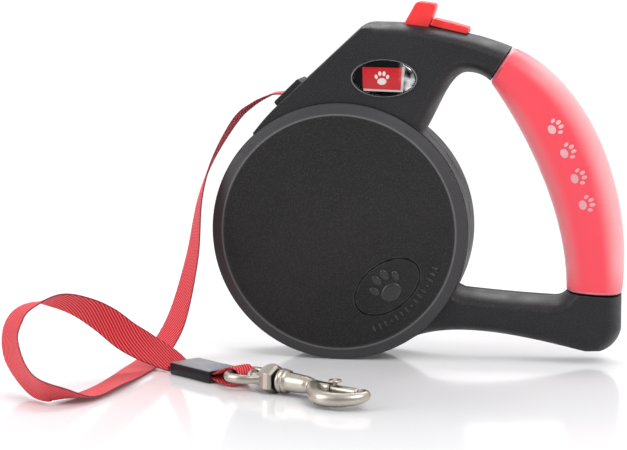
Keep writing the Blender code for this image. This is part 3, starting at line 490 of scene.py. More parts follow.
def add_object(name, data, at, looks=None):
    """Puts an object into the scene; looks is the direction in which a lamp or camera points."""
    made = bpy.data.objects.new(name, data)
    made.location = at
    if looks:
        made.rotation_euler = looks.to_track_quat("-Z", "Y").to_euler()
    bpy.context.collection.objects.link(made)
    return made


def place(point):
    """A point of the design as the frame needs it, in metres."""
    return Vector(point) * MM + MIDDLE


def smooth(piece, sharp):
    piece.data.shade_smooth()
    if sharp:
        piece.data.set_sharp_from_angle(angle=radians(sharp))


def bake(piece, sharp=35.0, weighted=False):
    """Makes what the modifiers give the piece's own mesh, and drops the guides they used."""
    guides = [step.object for step in piece.modifiers if step.type == "BOOLEAN"]
    paints = list(piece.data.materials)
    bpy.context.view_layer.update()
    graph = bpy.context.evaluated_depsgraph_get()
    mesh = bpy.data.meshes.new_from_object(piece.evaluated_get(graph))
    piece.modifiers.clear()
    piece.data = mesh
    mesh.materials.clear()
    for paint in paints:
        mesh.materials.append(paint)
    for guide in guides:
        bpy.data.objects.remove(guide)
    smooth(piece, sharp)
    if weighted:
        step = piece.modifiers.new("face_weights", "WEIGHTED_NORMAL")
        step.keep_sharp = True
        step.weight = 60
    return piece


def boolean(target, tool, operation="DIFFERENCE"):
    tool.hide_render = True
    step = target.modifiers.new(tool.name, "BOOLEAN")
    step.object = tool
    step.operation = operation
    step.solver = "EXACT"


def bevel(piece, width):
    step = piece.modifiers.new("edge_round", "BEVEL")
    step.width = width * MM
    step.segments = 2
    step.limit_method = "ANGLE"
    step.angle_limit = radians(30.0)
    return piece


def fill_loops(bm, loops, wrap=False):
    """Skins a list of closed loops of points, with flat ends unless the loops wrap around."""
    rings = [[bm.verts.new(point) for point in loop] for loop in loops]
    pairs = list(zip(rings, rings[1:]))
    if wrap:
        pairs.append((rings[-1], rings[0]))
    for low, high in pairs:
        for i in range(len(low)):
            j = (i + 1) % len(low)
            bm.faces.new((low[i], low[j], high[j], high[i]))
    if not wrap:
        bm.faces.new(rings[0])
        bm.faces.new(rings[-1])
    return bm


def loft(name, loops, paint=None, wrap=False, sharp=35.0):
    return add_mesh(name, fill_loops(bmesh.new(), loops, wrap), paint, sharp)


def stacked(outlines):
    """Loops of points from outlines across Y, each given with where on Y it stands."""
    return [[(x, y, z) for x, z in outline] for outline, y in outlines]


def prism(name, outline, low, high, paint=None):
    return loft(name, stacked(((outline, low), (outline, high))), paint)


def prisms(name, outlines, low, high):
    bm = bmesh.new()
    for outline in outlines:
        fill_loops(bm, stacked(((outline, low), (outline, high))))
    return add_mesh(name, bm)


def turns(count):
    """Angles once around, in radians."""
    return [2.0 * pi * i / count for i in range(count)]


def circle(at, radius, segments):
    return ellipse(at, radius, radius, segments)


def ellipse(at, a, b, segments, turned=0.0):
    c, s = cos(radians(turned)), sin(radians(turned))
    points = []
    for t in turns(segments):
        x, z = a * cos(t), b * sin(t)
        points.append((at[0] + x * c - z * s, at[1] + x * s + z * c))
    return points


def arc(at, radius, start, end, steps):
    angles = [radians(start + (end - start) * i / steps) for i in range(steps + 1)]
    return [(at[0] + radius * cos(a), at[1] + radius * sin(a)) for a in angles]


def bezier(p0, p1, p2, p3, t):
    weights = ((1 - t) ** 3, 3 * t * (1 - t) ** 2, 3 * t * t * (1 - t), t**3)
    return tuple(sum(w * p[k] for w, p in zip(weights, (p0, p1, p2, p3))) for k in range(len(p0)))


def curve(p0, p1, p2, p3, steps):
    return [bezier(p0, p1, p2, p3, i / steps) for i in range(steps + 1)]


def through(a, b, c, d, t):
    """A smooth step between b and c, with a and d as the points before and after."""
    square, cube = 2 * a - 5 * b + 4 * c - d, 3 * b - 3 * c + d - a
    return 0.5 * (2 * b + (c - a) * t + square * t * t + cube * t**3)


def smooth_points(rows, steps):
    rows = [Vector(row) for row in rows]
    out = []
    for i in range(len(rows) - 1):
        near = rows[max(i - 1, 0)], rows[i], rows[i + 1], rows[min(i + 2, len(rows) - 1)]
        out.extend(through(*near, k / steps) for k in range(steps))
    return out + [rows[-1]]


def cast(name, bm, voxel, rounds, paint):
    """Melts overlapping bodies into one skin, as a casting has, and softens its inner corners."""
    piece = add_mesh(name, bm, paint, None)
    melt = piece.modifiers.new("melt", "REMESH")
    melt.mode = "VOXEL"
    melt.voxel_size = voxel * MM
    soften = piece.modifiers.new("soften", "SMOOTH")
    soften.factor = 0.5
    soften.iterations = rounds
    return bake(piece, None)


def join(piece, parts):
    """Adds prisms to the piece, each given as a name, an outline and its two ends on Y."""
    for part in parts:
        boolean(piece, prism(*part), "UNION")


def stands_for(piece, body, slot, *nodes):
    """The piece rides on the body and takes the place of the CAD nodes."""
    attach(piece, body)
    if nodes:
        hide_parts(*nodes)
    return piece


# ------------------------ casing


def casing_outline():
    """The casing's outline, anticlockwise, with how much each point's edge is rounded."""
    nose = smooth_points((SLANT_TOP, (-8.0, 67.6), (-28.0, 48.8), SLANT_LOW), 4)
    stretches = (
        (arc((0, 0), DISC_R, 133.0, 303.5, 110), 0.0, 0.0),
        (curve((29.9, -43.9), (50.1, -36.0), (83.7, -44.7), (99.0, -48.0), 26), 1.0, 1.0),
        (arc((101.5, -36.5), 11.7, -74.0, -8.0, 14), 1.0, 1.0),
        ((GRIP_LOW_OUT, GRIP_LOW_IN), 0.0, 0.0),
        (curve((90.2, -24.1), (88.8, -25.4), (87.2, -25.6), (85.6, -25.6), 5), 1.0, 1.0),
        (curve((84.0, -25.5), (76.0, -25.3), (62.0, -24.4), (49.9, -23.3), 12), 1.0, 1.0),
        (arc((0, 0), DISC_R, -25.0, 50.5, 50), 0.0, 0.0),
        (curve((34.4, 42.3), (39.3, 51.0), (43.5, 64.4), (50.4, 64.2), 22), 1.0, 1.0),
        (curve((51.4, 64.15), (54.2, 64.0), (56.6, 62.9), (58.4, 61.6), 7), 1.0, 1.0),
        ((GRIP_TOP_IN, GRIP_TOP_OUT), 0.0, 0.0),
        (curve((65.7, 75.1), (56.0, 78.7), (38.7, 83.8), (18.0, 84.0), 22), 1.0, 0.8),
        (curve((15.5, 84.0), (12.5, 84.1), (10.0, 84.3), SLANT_TOP, 9), 0.75, 0.16),
        ([tuple(point) for point in nose[1:]], 0.2, 0.12),
    )
    points, rounding = [], []
    for stretch, first, last in stretches:
        points.extend(stretch)
        count = max(len(stretch) - 1, 1)
        rounding.extend(first + (last - first) * i / count for i in range(len(stretch)))
    return points, rounding


def inset(points, amounts):
    """Moves each edge of an anticlockwise outline inwards: an edge takes its larger end's amount."""
    count = len(points)
    edges = []
    for i, (x, z) in enumerate(points):
        after = points[(i + 1) % count]
        run = Vector((after[0] - x, after[1] - z)).normalized()
        edges.append((Vector((-run.y, run.x)), max(amounts[i], amounts[(i + 1) % count])))
    moved = []
    for i, (x, z) in enumerate(points):
        (normal_a, shift_a), (normal_b, shift_b) = edges[i - 1], edges[i]
        turning = normal_a.x * normal_b.y - normal_a.y * normal_b.x
        if abs(turning) < 0.5:
            step = (normal_a + normal_b).normalized() * (shift_a + shift_b) / 2.0
        else:
            across = shift_a * normal_b.y - shift_b * normal_a.y
            up = shift_b * normal_a.x - shift_a * normal_b.x
            step = Vector((across, up)) / turning
        moved.append((x + step.x, z + step.y))
    return moved


def stepped(at, run, along, out):
    """The point so far along the run from a start, and so far out to its left."""
    return (at[0] + along * run[0] - out * run[1], at[1] + along * run[1] + out * run[0])


def rectangle(left, low, right, high):
    return [(left, low), (right, low), (right, high), (left, high)]


def laid_box(line, *sides):
    """A rectangle measured along and out from a start and a direction."""
    return [stepped(*line, *corner) for corner in rectangle(*sides)]


def button_slot():
    run = Vector((PUSH.x, PUSH.z)) / -PUSH.z
    sides = []
    for x, z in ((24.7, 84.3), (35.5, 83.4)):
        sides.append(((x + run.x * (z - 74.0), 74.0), (x - run.x * (92.0 - z), 92.0)))
    (left_low, left_high), (right_low, right_high) = sides
    return [left_low, right_low, right_high, left_high]


def casing_shell(name, side, paint):
    """One half of the casing: its rounded outside, hollow inside, with its openings cut."""
    points, rounding = casing_outline()
    rows = [(0.35, SEAM), (0.0, SEAM + 0.45)]
    for i in range(1, 19):
        angle = radians(5.0 * i)
        rows.append((EDGE_ROUND * (1.0 - cos(angle)), CASE_HALF * sin(angle)))
    outlines = []
    for shift, y in rows:
        amounts = [shift if y < 1.0 else shift * amount for amount in rounding]
        outlines.append((inset(points, amounts), side * y))
    half = loft(name, stacked(outlines), paint, sharp=30.0)

    shoulder = (
        (-32.5, 34.0), (-26.5, 45.9), (-14.8, 57.6), (9.5, 80.0), (13.0, 81.3), (24.0, 81.4),
        (38.0, 79.8), (53.0, 75.9), (53.0, 73.2), (46.0, 73.2), (45.6, 66.6), (41.5, 62.6),
        (32.0, 46.0), (28.0, 36.0),
    )
    lower_arm = ((57.0, -28.8), (93.0, -29.4), (93.0, -42.2), (75.0, -39.0), (57.0, -37.2))
    for label, outlines, reach in (
        ("disc_hollow", (circle((0, 0), CAVITY_R, 64),), CAVITY_HALF),
        ("shoulder_hollow", (shoulder,), CAVITY_HALF),
        ("arm_hollow", (lower_arm,), CAVITY_HALF),
        ("tenon_seats", (laid_box(TENON, -0.5, -4.6, 8.6, 4.6), rectangle(95.6, -33.6, 108.4, -23.4)), 6.3),
        ("button_gap", (button_slot(),), 5.4),
        ("lock_gap", (laid_box(LOCK, -3.4, -8.0, 7.2, 4.0),), 3.4),
        ("lock_pocket", (laid_box(LOCK, -8.0, -0.8, 11.5, 4.0),), 5.3),
        ("mouth", (laid_box(SLANT, -7.3, -9.0, 7.3, 4.0),), 8.9),
    ):
        low, high = sorted((side * reach, -side))
        boolean(half, prisms(label, outlines, low, high))
    return half


def front_shell(paint):
    half = casing_shell("casing_front_shell", -1, paint)
    boolean(half, prism("badge_seat", ellipse(BADGE, BADGE_A + GAP, BADGE_B + GAP, 72), -14.0, -11.6))
    stands_for(bake(half, 30.0, True), "casing", "casing_plastic", "front_casing")


def rear_shell(paint):
    half = casing_shell("casing_rear_shell", 1, paint)
    boolean(half, prisms("screw_ways", [circle(at, SCREW_R + GAP, 20) for at in SCREWS], 8.0, 14.0))
    boolean(half, prisms("head_seats", [circle(at, HEAD_R + GAP, 40) for at in SCREWS], 9.6, 14.0))
    stands_for(bake(half, 30.0, True), "casing", "casing_plastic", "rear_casing")


def screws(paint):
    """Cross-headed screws, sunk in the rear half."""
    rows = (
        (0.6, -8.4), (SCREW_R, -7.6), (SCREW_R, 9.9), (HEAD_R - 0.15, 9.9), (HEAD_R, 10.05),
        (HEAD_R, 10.9), (HEAD_R - 0.25, 11.25), (1.7, 11.6), (0.9, 11.8),
    )
    for number, at in enumerate(SCREWS, start=1):
        outlines = [(circle(at, r, 32), y) for r, y in rows]
        screw = loft(f"rear_screw_{number}", stacked(outlines), paint)
        for arm in (0.0, 90.0):
            turned = 40.0 * number + arm
            cut = ((ellipse(at, 0.725, 0.17, 4, turned), 10.4), (ellipse(at, 1.45, 0.34, 4, turned), 12.0))
            boolean(screw, loft(f"recess_{number}_{arm:.0f}", stacked(cut)))
        stands_for(bake(screw), "casing", "steel", f"casing_screw_{number}")


def cover(name, side, paint, node):
    """The dished cover: a bevelled band, a fine bead at its inner edge and a face a little below it."""
    rows = [(46.0, COVER_FACE - 1.8), (49.4, LIP_AT), (51.4, LIP_AT)]
    rows += [(COVER_R - 0.25, CASE_HALF + 0.5), (COVER_R, CASE_HALF + 0.8)]
    for angle in (0.0, 25.0, 50.0, 68.0):
        a = radians(angle)
        rows.append((COVER_R - 0.9 * (1.0 - cos(a)), COVER_EDGE - 0.9 * (1.0 - sin(a))))
    rows += [(50.2, 15.3), (49.0, 15.75), (48.3, 16.02), (47.9, 16.24), (COVER_FACE_R, COVER_FACE)]
    rows += [(47.15, 16.46), (46.85, 16.26), (46.5, 16.12), (45.8, 16.08), (20.0, 16.1)]
    outlines = [(circle((0, 0), r, 240), side * y) for r, y in rows]
    piece = loft(name, stacked(outlines), paint, sharp=40.0)
    if side < 0:
        groove = []
        for out, y in ((-0.5, -16.9), (0.5, -16.9), (0.32, -15.2), (-0.32, -15.2)):
            groove.append((ellipse(OVAL_AT, OVAL_A + out, OVAL_B + out, 120, OVAL_TURN), y))
        boolean(piece, loft("oval_groove", stacked(groove), wrap=True))
    stands_for(bake(piece, 40.0, True), "casing", "cover_plastic", node)


def paw(at, size, turned=0.0):
    """A plain paw print as ovals: middle, half lengths and turn of each pad."""
    c, s = cos(radians(turned)), sin(radians(turned))
    toes = ((-0.62, 0.18, 0.17, 0.25, 18.0), (-0.23, 0.52, 0.18, 0.27, 6.0))
    toes += tuple((-x, z, a, b, -t) for x, z, a, b, t in toes)
    ovals = []
    for x, z, a, b, t in ((0.0, -0.32, 0.5, 0.38, 0.0), *toes):
        middle = (at[0] + size * (x * c - z * s), at[1] + size * (x * s + z * c))
        ovals.append((middle, size * a, size * b, t + turned))
    return ovals


def raised(name, ovals, y, high, paint, slot):
    """Low domes standing on the plane at y, towards the badge side."""
    bm = bmesh.new()
    rows = ((1.0, -0.12 / high), (1.0, 0.0), (0.93, 0.5), (0.78, 0.82), (0.5, 0.97), (0.2, 1.0))
    for at, a, b, turned in ovals:
        outlines = [(ellipse(at, a * k, b * k, 28, turned), y - rise * high) for k, rise in rows]
        fill_loops(bm, stacked(outlines))
    stands_for(add_mesh(name, bm, paint), "casing", slot)


def cover_marks(paint):
    """A raised paw inside the oval, and a curved row of plain bars beside it."""
    ovals = paw(OVAL_AT, 8.6, OVAL_TURN)
    for i in range(MARK_BARS):
        angle = -69.0 + 50.0 * i / (MARK_BARS - 1)
        at = (MARK_BARS_R * cos(radians(angle)), MARK_BARS_R * sin(radians(angle)))
        ovals.append((at, 0.5, 1.3 if i % 4 != 3 else 0.6, angle - 90.0))
    raised("cover_raised_marks", ovals, -16.1, 0.4, paint, "cover_plastic")


def badge_loops(rows):
    """Loops of the badge's oval, each given as a share of its size and where on Y it stands."""
    return stacked([(ellipse(BADGE, BADGE_A * k, BADGE_B * k, 96), y) for k, y in rows])


def on_badge(outline):
    return [(BADGE[0] + x, BADGE[1] + z) for x, z in outline]


def badge(black, rim, red, pale, clear):
    """The oval badge: a black dish in a fine pale ring, a painted highlight along its lip, a card with a
    pale edge, a paw and a clear dome.
    """
    rows = (
        (0.96, -11.8), (0.97, -12.0), (0.97, -13.2), (0.965, -13.4), (0.96, -13.5), (0.955, -13.45),
        (0.945, -13.3), (0.93, -12.6), (0.9, -12.45), (0.5, -12.4),
    )
    dish = bake(loft("badge_dish", badge_loops(rows), black), 40.0, True)
    stands_for(dish, "casing", "gloss_black", "badge_plate")
    # The fine ring is painted pale grey: a painted highlight along the dish's lip.
    rows = (
        (1.005, -12.9), (1.012, -13.3), (1.005, -13.62), (0.99, -13.72), (0.972, -13.62), (0.975, -13.0),
    )
    stands_for(loft("badge_rim", badge_loops(rows), rim, wrap=True), "casing", "gloss_black")
    shadow = on_badge(((-8.2, -5.1), (7.6, -5.5), (8.3, 4.6), (6.9, 4.4), (6.6, -4.4), (-8.5, -4.0)))
    under = bake(bevel(prism("badge_card_edge", shadow, -12.98, -12.62, pale), 0.08))
    stands_for(under, "casing", "badge_print")
    card = on_badge(((-8.6, -4.2), (6.6, -4.7), (7.2, 4.2), (-8.8, 4.4)))
    face = bake(bevel(prism("badge_card", card, -13.12, -12.66, red), 0.1))
    stands_for(face, "casing", "badge_print", "badge_label")
    raised("badge_paw", paw((BADGE[0] - 0.9, BADGE[1] - 0.1), 3.7), -13.12, 0.12, pale, "badge_print")
    dome = [(0.93, -13.2), (0.94, -13.35)]
    for k in (0.92, 0.86, 0.78, 0.66, 0.5, 0.32, 0.12):
        dome.append((k, -13.4 - 1.5 * (1.0 - (k / 0.94) ** 2)))
    stands_for(loft("badge_window", badge_loops(dome), clear), "casing", "clear_lens", "badge_lens")


# ------------------------ grip


def grip_frame(t):
    """At a share of the grip's length: its middle, the way out across it and its half width."""
    outer = Vector(bezier(GRIP_TOP_OUT, (100.8, 61.2), (117.8, 13.5), GRIP_LOW_OUT, t))
    inner = Vector(bezier(GRIP_TOP_IN, (74.2, 40.0), (91.0, 7.6), GRIP_LOW_IN, t))
    width = outer - inner
    return (outer + inner) / 2.0, width.normalized(), width.length / 2.0


def squarish(value):
    """A circle's sine or cosine, swollen towards a box with round corners."""
    return copysign(abs(value) ** 0.8, value)


def grip_section(t, thinner, push=0.0):
    """A rounded section across the grip; push moves it along the grip."""
    middle, across, reach = grip_frame(t)
    middle += Vector((across.y, -across.x)) * push
    points = []
    for angle in turns(GRIP_SIDES):
        x, z = middle + across * squarish(cos(angle)) * (reach - thinner)
        points.append((x, squarish(sin(angle)) * (GEL_HALF - thinner), z))
    return points


def grip_gel(paint):
    """The gel sleeve: a smooth tube with soft lips where it meets the casing's arms."""
    first, last = 0.006, 0.994
    shares = [first + (last - first) * i / GRIP_ROWS for i in range(GRIP_ROWS)]
    lip = ((1.1, 0.0, 1.0), (0.45, 0.12, 1.0), (0.1, 0.45, 0.6), (0.0, 1.0, 0.6))
    rows = [(grip_section(first, thinner, push), rim, 0.0) for thinner, push, rim in lip]
    rows += [(grip_section(t, 0.0), 0.0, t) for t in shares[1:]]
    rows += [(grip_section(last, thinner, -push), rim, 1.0) for thinner, push, rim in reversed(lip)]
    squeeze = (CORE_HALF + GAP) / (GEL_HALF - GEL_WALL)
    for t in (last, *reversed(shares[::3])):
        inside = [(x, y * squeeze, z) for x, y, z in grip_section(t, GEL_WALL)]
        rows.append((inside, 0.0, t))
    piece = loft("grip_gel", [loop for loop, _, _ in rows], paint, wrap=True, sharp=None)
    around = [squarish(cos(angle)) for angle in turns(GRIP_SIDES)]
    carried = {
        "rim": [rim for _, rim, _ in rows for _ in around],
        "length": [t for _, _, t in rows for _ in around],
        "side": around * len(rows),
    }
    for label, values in carried.items():
        piece.data.attributes.new(label, "FLOAT", "POINT").data.foreach_set("value", values)
    stands_for(piece, "casing", "gel", "gel_sleeve")


def grip_marks(paint):
    """A row of small pale paws set in the gel, where a maker would put a name."""
    ovals = []
    for i in range(4):
        middle, across, _ = grip_frame(0.345 + 0.102 * i)
        turned = degrees(atan2(across.y, across.x))
        ovals += paw(middle + across * 0.8, 4.3, turned - 90.0)
    raised("grip_pale_marks", ovals, -GEL_HALF + 0.1, 0.16, paint, "gel")


# ------------------------ buttons and nozzle


def rounded(outline, radius, steps=4):
    """An outline with each corner rounded."""
    out = []
    count = len(outline)
    for i, corner in enumerate(outline):
        corner = Vector(corner)
        before, after = Vector(outline[i - 1]) - corner, Vector(outline[(i + 1) % count]) - corner
        reach = min(radius, before.length * 0.45, after.length * 0.45)
        first, last = corner + before.normalized() * reach, corner + after.normalized() * reach
        for k in range(steps + 1):
            t = k / steps
            out.append(tuple(first * (1 - t) ** 2 + corner * 2 * t * (1 - t) + last * t * t))
    return out


def pillow(name, outline, half, edge, paint):
    """A prism along Y whose two flat sides have rounded edges."""
    middle = sum((Vector(point) for point in outline), Vector((0.0, 0.0))) / len(outline)
    rows = []
    for i in range(6):
        angle = radians(18.0 * i)
        rows.append((edge * (1.0 - sin(angle)), -half + edge * (1.0 - cos(angle))))
    rows += [(less, -y) for less, y in reversed(rows)]
    outlines = []
    for less, y in rows:
        reaches = [Vector(point) - middle for point in outline]
        outlines.append(([middle + reach * max(0.0, 1.0 - less / reach.length) for reach in reaches], y))
    return loft(name, stacked(outlines), paint, sharp=40.0)


def brake_tab(paint):
    """The tall tab with its neck, foot and leg."""
    tab = (
        (23.6, 80.4), (33.8, 80.0), (35.1, 83.4), (37.4, 90.2), (36.8, 91.5), (30.5, 92.3), (29.3, 91.6),
        (25.0, 83.9),
    )
    button = pillow("brake_tab", rounded(tab, 0.8), BUTTON_HALF, 0.6, paint)
    neck = ((23.8, 79.0), (33.2, 79.0), (34.2, 82.0), (25.0, 82.0))
    foot = rectangle(22.5, 77.4, 37.0, 79.4)
    top = Vector(LEG_TIP) - Vector((PUSH.x, PUSH.z)) * 24.0
    x, z = LEG_TIP
    leg = ((top.x - 2.2, top.y), (top.x + 2.2, top.y), (x + 1.6, z + 0.4), (x, z), (x - 1.4, z + 0.5))
    join(button, (("tab_neck", neck, -4.7, 4.7), ("tab_foot", foot, -9.0, 9.0)))
    join(button, (("tab_leg", leg, -9.2, -6.7),))
    stands_for(bake(button, 40.0, True), "button", "button_red", "brake_button")


def lock_pad(paint):
    """The low pad behind the tab, with its neck, foot, side arm and toe."""
    rows = ((-7.8, -0.7), (7.6, -0.7), (7.8, 0.8), (7.2, 1.9), (0.0, 2.3), (-7.2, 2.3))
    outline = rounded([stepped(*LOCK, *row) for row in rows], 0.7)
    slider = pillow("lock_pad", outline, BUTTON_HALF, 0.6, paint)
    neck = laid_box(LOCK, -3.0, -4.2, 3.0, 1.0)
    foot = laid_box(LOCK, -4.0, -5.2, 4.6, -3.9)
    arm = ((15.6, 75.2), (39.5, 75.0), (42.0, 78.0), (39.6, 78.4), (38.2, 76.9), (15.6, 76.9))
    toe = rectangle(15.6, 75.6, 19.7, 76.9)
    join(slider, (("pad_neck", neck, -3.0, 3.0), ("pad_foot", foot, -4.6, 10.5)))
    join(slider, (("pad_arm", arm, 9.4, 10.5), ("pad_toe", toe, 7.5, 10.0)))
    stands_for(bake(slider, 40.0, True), "lock", "button_red", "lock_slider")


def nozzle(paint):
    """The black nozzle with rounded lips around the tape's slot."""
    outline = rounded(laid_box(SLANT, -7.0, -2.9, 7.0, 1.4), 1.0)
    guide = pillow("nozzle", outline, NOZZLE_HALF, 0.7, paint)
    half, rise = NOZZLE_SLOT
    lips = rounded(rectangle(-40.0, NOZZLE_Z - rise, -8.0, NOZZLE_Z + rise), 0.5)
    boolean(guide, prism("slot_through", lips, -half, half))
    stands_for(bake(guide, 40.0, True), "casing", "casing_plastic", "exit_guide")


# ------------------------ tape


def smooth_course(rows, steps):
    """Refines (middle, across) rows into a flowing course."""
    rows = [(*middle, *Vector(across).normalized()) for middle, across in rows]
    return [(Vector(row[:3]), Vector(row[3:]).normalized()) for row in smooth_points(rows, steps)]


def ribbon(name, course, paint, width=TAPE_W, start=0.0, waist=0.0):
    """Webbing along a course: crowned, with thicker edges and twill ribs, both faces alike."""
    loops, marks = [], []
    travelled = start
    turn = 2.0 * pi / RIB_PITCH
    for i, (middle, across) in enumerate(course):
        ahead = course[min(i + 1, len(course) - 1)][0] - course[max(i - 1, 0)][0]
        across = (across - ahead * (across.dot(ahead) / ahead.length_squared)).normalized()
        face = ahead.normalized().cross(across)
        if i:
            travelled += (middle - course[i - 1][0]).length
        narrow = waist * sin(pi * i / (len(course) - 1)) ** 2
        loop = []
        for side in (1.0, -1.0):
            for k in range(RIBBON_COLUMNS + 1):
                u = side * (k / RIBBON_COLUMNS - 0.5) * (width - narrow)
                near_edge = abs(2.0 * k / RIBBON_COLUMNS - 1.0)
                high = TAPE_T / 2.0 * (1.0 - 0.55 * near_edge**14) - RIB_HIGH
                if near_edge < 0.93:
                    phase = turn * (u * cos(RIB_ANGLE) + side * travelled * sin(RIB_ANGLE))
                    high += RIB_HIGH * sin(phase)
                elif near_edge < 0.985:
                    high += RIB_HIGH
                loop.append(middle + across * u + face * side * high)
                marks.append((u, side * travelled))
        loops.append(loop)
    piece = loft(name, loops, paint, sharp=50.0)
    strip = piece.data.uv_layers.new(name="strip")
    for corner in piece.data.loops:
        strip.data[corner.index].uv = marks[corner.vertex_index]
    return piece, travelled


def sleeve_axes():
    along = (SLEEVE_END - SLEEVE_START).normalized()
    across = along.cross(Vector((0, 0, 1))).normalized()
    return along, across, across.cross(along)


def passes(piece, node):
    """The strip takes the node's place, with its placement baked into its mesh."""
    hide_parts(node)
    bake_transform(piece)


def tapes(woven, woven_straight):
    """The strip at the nozzle, the falling run, the loop on the floor and the fold around the eye."""
    flat = Vector((0.0, -1.0, 0.0))
    rows = [(Vector((-18.2 - 1.1 * i, 0.0, NOZZLE_Z)), flat) for i in range(8)]
    rows += [(Vector((-28.2, -0.25, 54.55)), flat), (Vector((-29.6, -0.5, 54.2)), flat), TAPE_COURSE[0]]
    mouth, _ = ribbon("leash_mouth", smooth_course(rows, 4), woven_straight)
    passes(mouth, "tape_exit")

    along, across, up = sleeve_axes()
    entry = tuple((SLEEVE_START - along * back, -across) for back in (3.6, 0.7, -3.0))
    course = smooth_course(TAPE_COURSE + entry, COURSE_STEPS)
    split = LOOP_FROM * COURSE_STEPS
    lead, travelled = ribbon("leash_lead", course[: split + 1], woven)
    passes(lead, "tape_lead")
    loop, _ = ribbon("leash_loop", course[split:], woven, start=travelled)
    passes(loop, "tape_loop")

    rise = Vector((0.0, 0.0, 0.16))
    over, under = [], []
    for d, z in ((-9.0, 0.95), (-1.0, 1.0), (4.0, 2.4), (8.6, 3.4), (11.9, 2.6), (13.4, 1.3)):
        middle = SLEEVE_END + along * d + rise * max(d, 0.0)
        over.append((middle + up * z, across))
        under.append((middle - up * z, across))
    tip = SLEEVE_END + along * FOLD_REACH + rise * FOLD_REACH
    course = smooth_course(over + [(tip, across)] + under[::-1], 10)
    fold, _ = ribbon("leash_eye_fold", course, woven, FOLD_W, waist=3.6)
    stands_for(fold, "tape_end", "tape_red", "tape_eye_fold")


def joint_sleeve(paint):
    """The moulded block over the sewn tape: a tube with crisp rounded edges and a chamfered mouth."""
    along, across, up = sleeve_axes()

    def section(middle, w, h, r):
        corners = []
        for qx, qz, start in ((1, 1, 0.0), (-1, 1, 90.0), (-1, -1, 180.0), (1, -1, 270.0)):
            for x, z in arc((qx * (w - r), qz * (h - r)), r, start, start + 90.0, 5):
                corners.append(middle + across * x + up * z)
        return corners

    length = (SLEEVE_END - SLEEVE_START).length
    ends = ((0.0, 0.6), (0.08, 0.3), (0.25, 0.08), (0.5, 0.0))
    rows = [(d, SLEEVE_W / 2.0 - less, SLEEVE_H / 2.0 - less, SLEEVE_ROUND) for d, less in ends]
    rows += [(length - d, w, h, r) for d, w, h, r in reversed(rows)]
    for d, more in ((length, 0.25), (length - 0.4, 0.0), (0.4, 0.0), (0.0, 0.25)):
        rows.append((d, SLEEVE_BORE[0] + more, SLEEVE_BORE[1] + more, 0.4))
    loops = [section(SLEEVE_START + along * d, w, h, r) for d, w, h, r in rows]
    piece = loft("joint_sleeve", loops, paint, wrap=True, sharp=40.0)
    stands_for(piece, "tape_end", "sleeve_plastic", "tape_sleeve")


# ------------------------ snap hook


def hook_point(along, side=0.0, up=0.0):
    return HOOK_AT + HOOK_DIR * along + HOOK_SIDE * side + Vector((0.0, 0.0, up))


def hook_rings(profile, segments, facets=0):
    """Loops of (along, radius) points turned about the hook's axis, with flats if asked for."""
    loops = []
    for s, r in profile:
        ring = []
        for a in turns(segments):
            reach = r
            if facets:
                flat = 2.0 * pi / facets
                reach *= cos(flat / 2.0) / cos((a + flat / 2.0) % flat - flat / 2.0)
            ring.append(hook_point(s, reach * cos(a), reach * sin(a)))
        loops.append(ring)
    return loops


def bore(piece, name, start, end, radius):
    """Cuts a round way along the hook's axis."""
    boolean(piece, loft(name, hook_rings(((start, radius), (end, radius)), 40)))


def bar(path, radii, sides, flatten=1.0, tilt=0.0):
    """Loops of a round bar along a path; flatten narrows it and tilt leans its section."""
    loops = []
    upright = Matrix.Rotation(-tilt, 3, HOOK_DIR) @ Vector((0.0, 0.0, 1.0))
    for i, at in enumerate(path):
        ahead = (path[min(i + 1, len(path) - 1)] - path[max(i - 1, 0)]).normalized()
        across = ahead.cross(upright).normalized()
        up = across.cross(ahead)
        ring = []
        for a in turns(sides):
            ring.append(at + across * radii[i] * flatten * cos(a) + up * radii[i] * sin(a))
        loops.append(ring)
    return loops


def snap_eye(paint):
    """The eye ring, its arms running into a bell with worked flats."""
    bm = bmesh.new()
    bell = ((-6.4, 3.0), (-5.2, 4.2), (-3.4, 5.2), (-1.2, 6.0), (0.9, 6.1), (1.6, 5.7), (2.1, 4.9))
    fill_loops(bm, hook_rings(bell, 72, 6))
    rows = (
        (-3.6, 2.4), (-5.8, 4.4), (-8.4, 6.6), (-10.8, 7.6), (-13.2, 7.8), (-15.9, 7.4), (-17.8, 6.1),
        (-18.6, 3.8), (EYE_END, 0.0),
    )
    half = smooth_points(rows, 8)
    path = [hook_point(p.x, p.y) for p in half] + [hook_point(p.x, -p.y) for p in reversed(half[:-1])]
    fill_loops(bm, bar(path, [EYE_BAR_R] * len(path), 24, 0.8))
    piece = cast("snap_eye", bm, 0.16, 5, paint)
    bore(piece, "eye_way", -9.2, 4.0, RIVET_WAY_R)
    stands_for(bake(piece, 50.0), "swivel", "hook_metal", "swivel_eye")


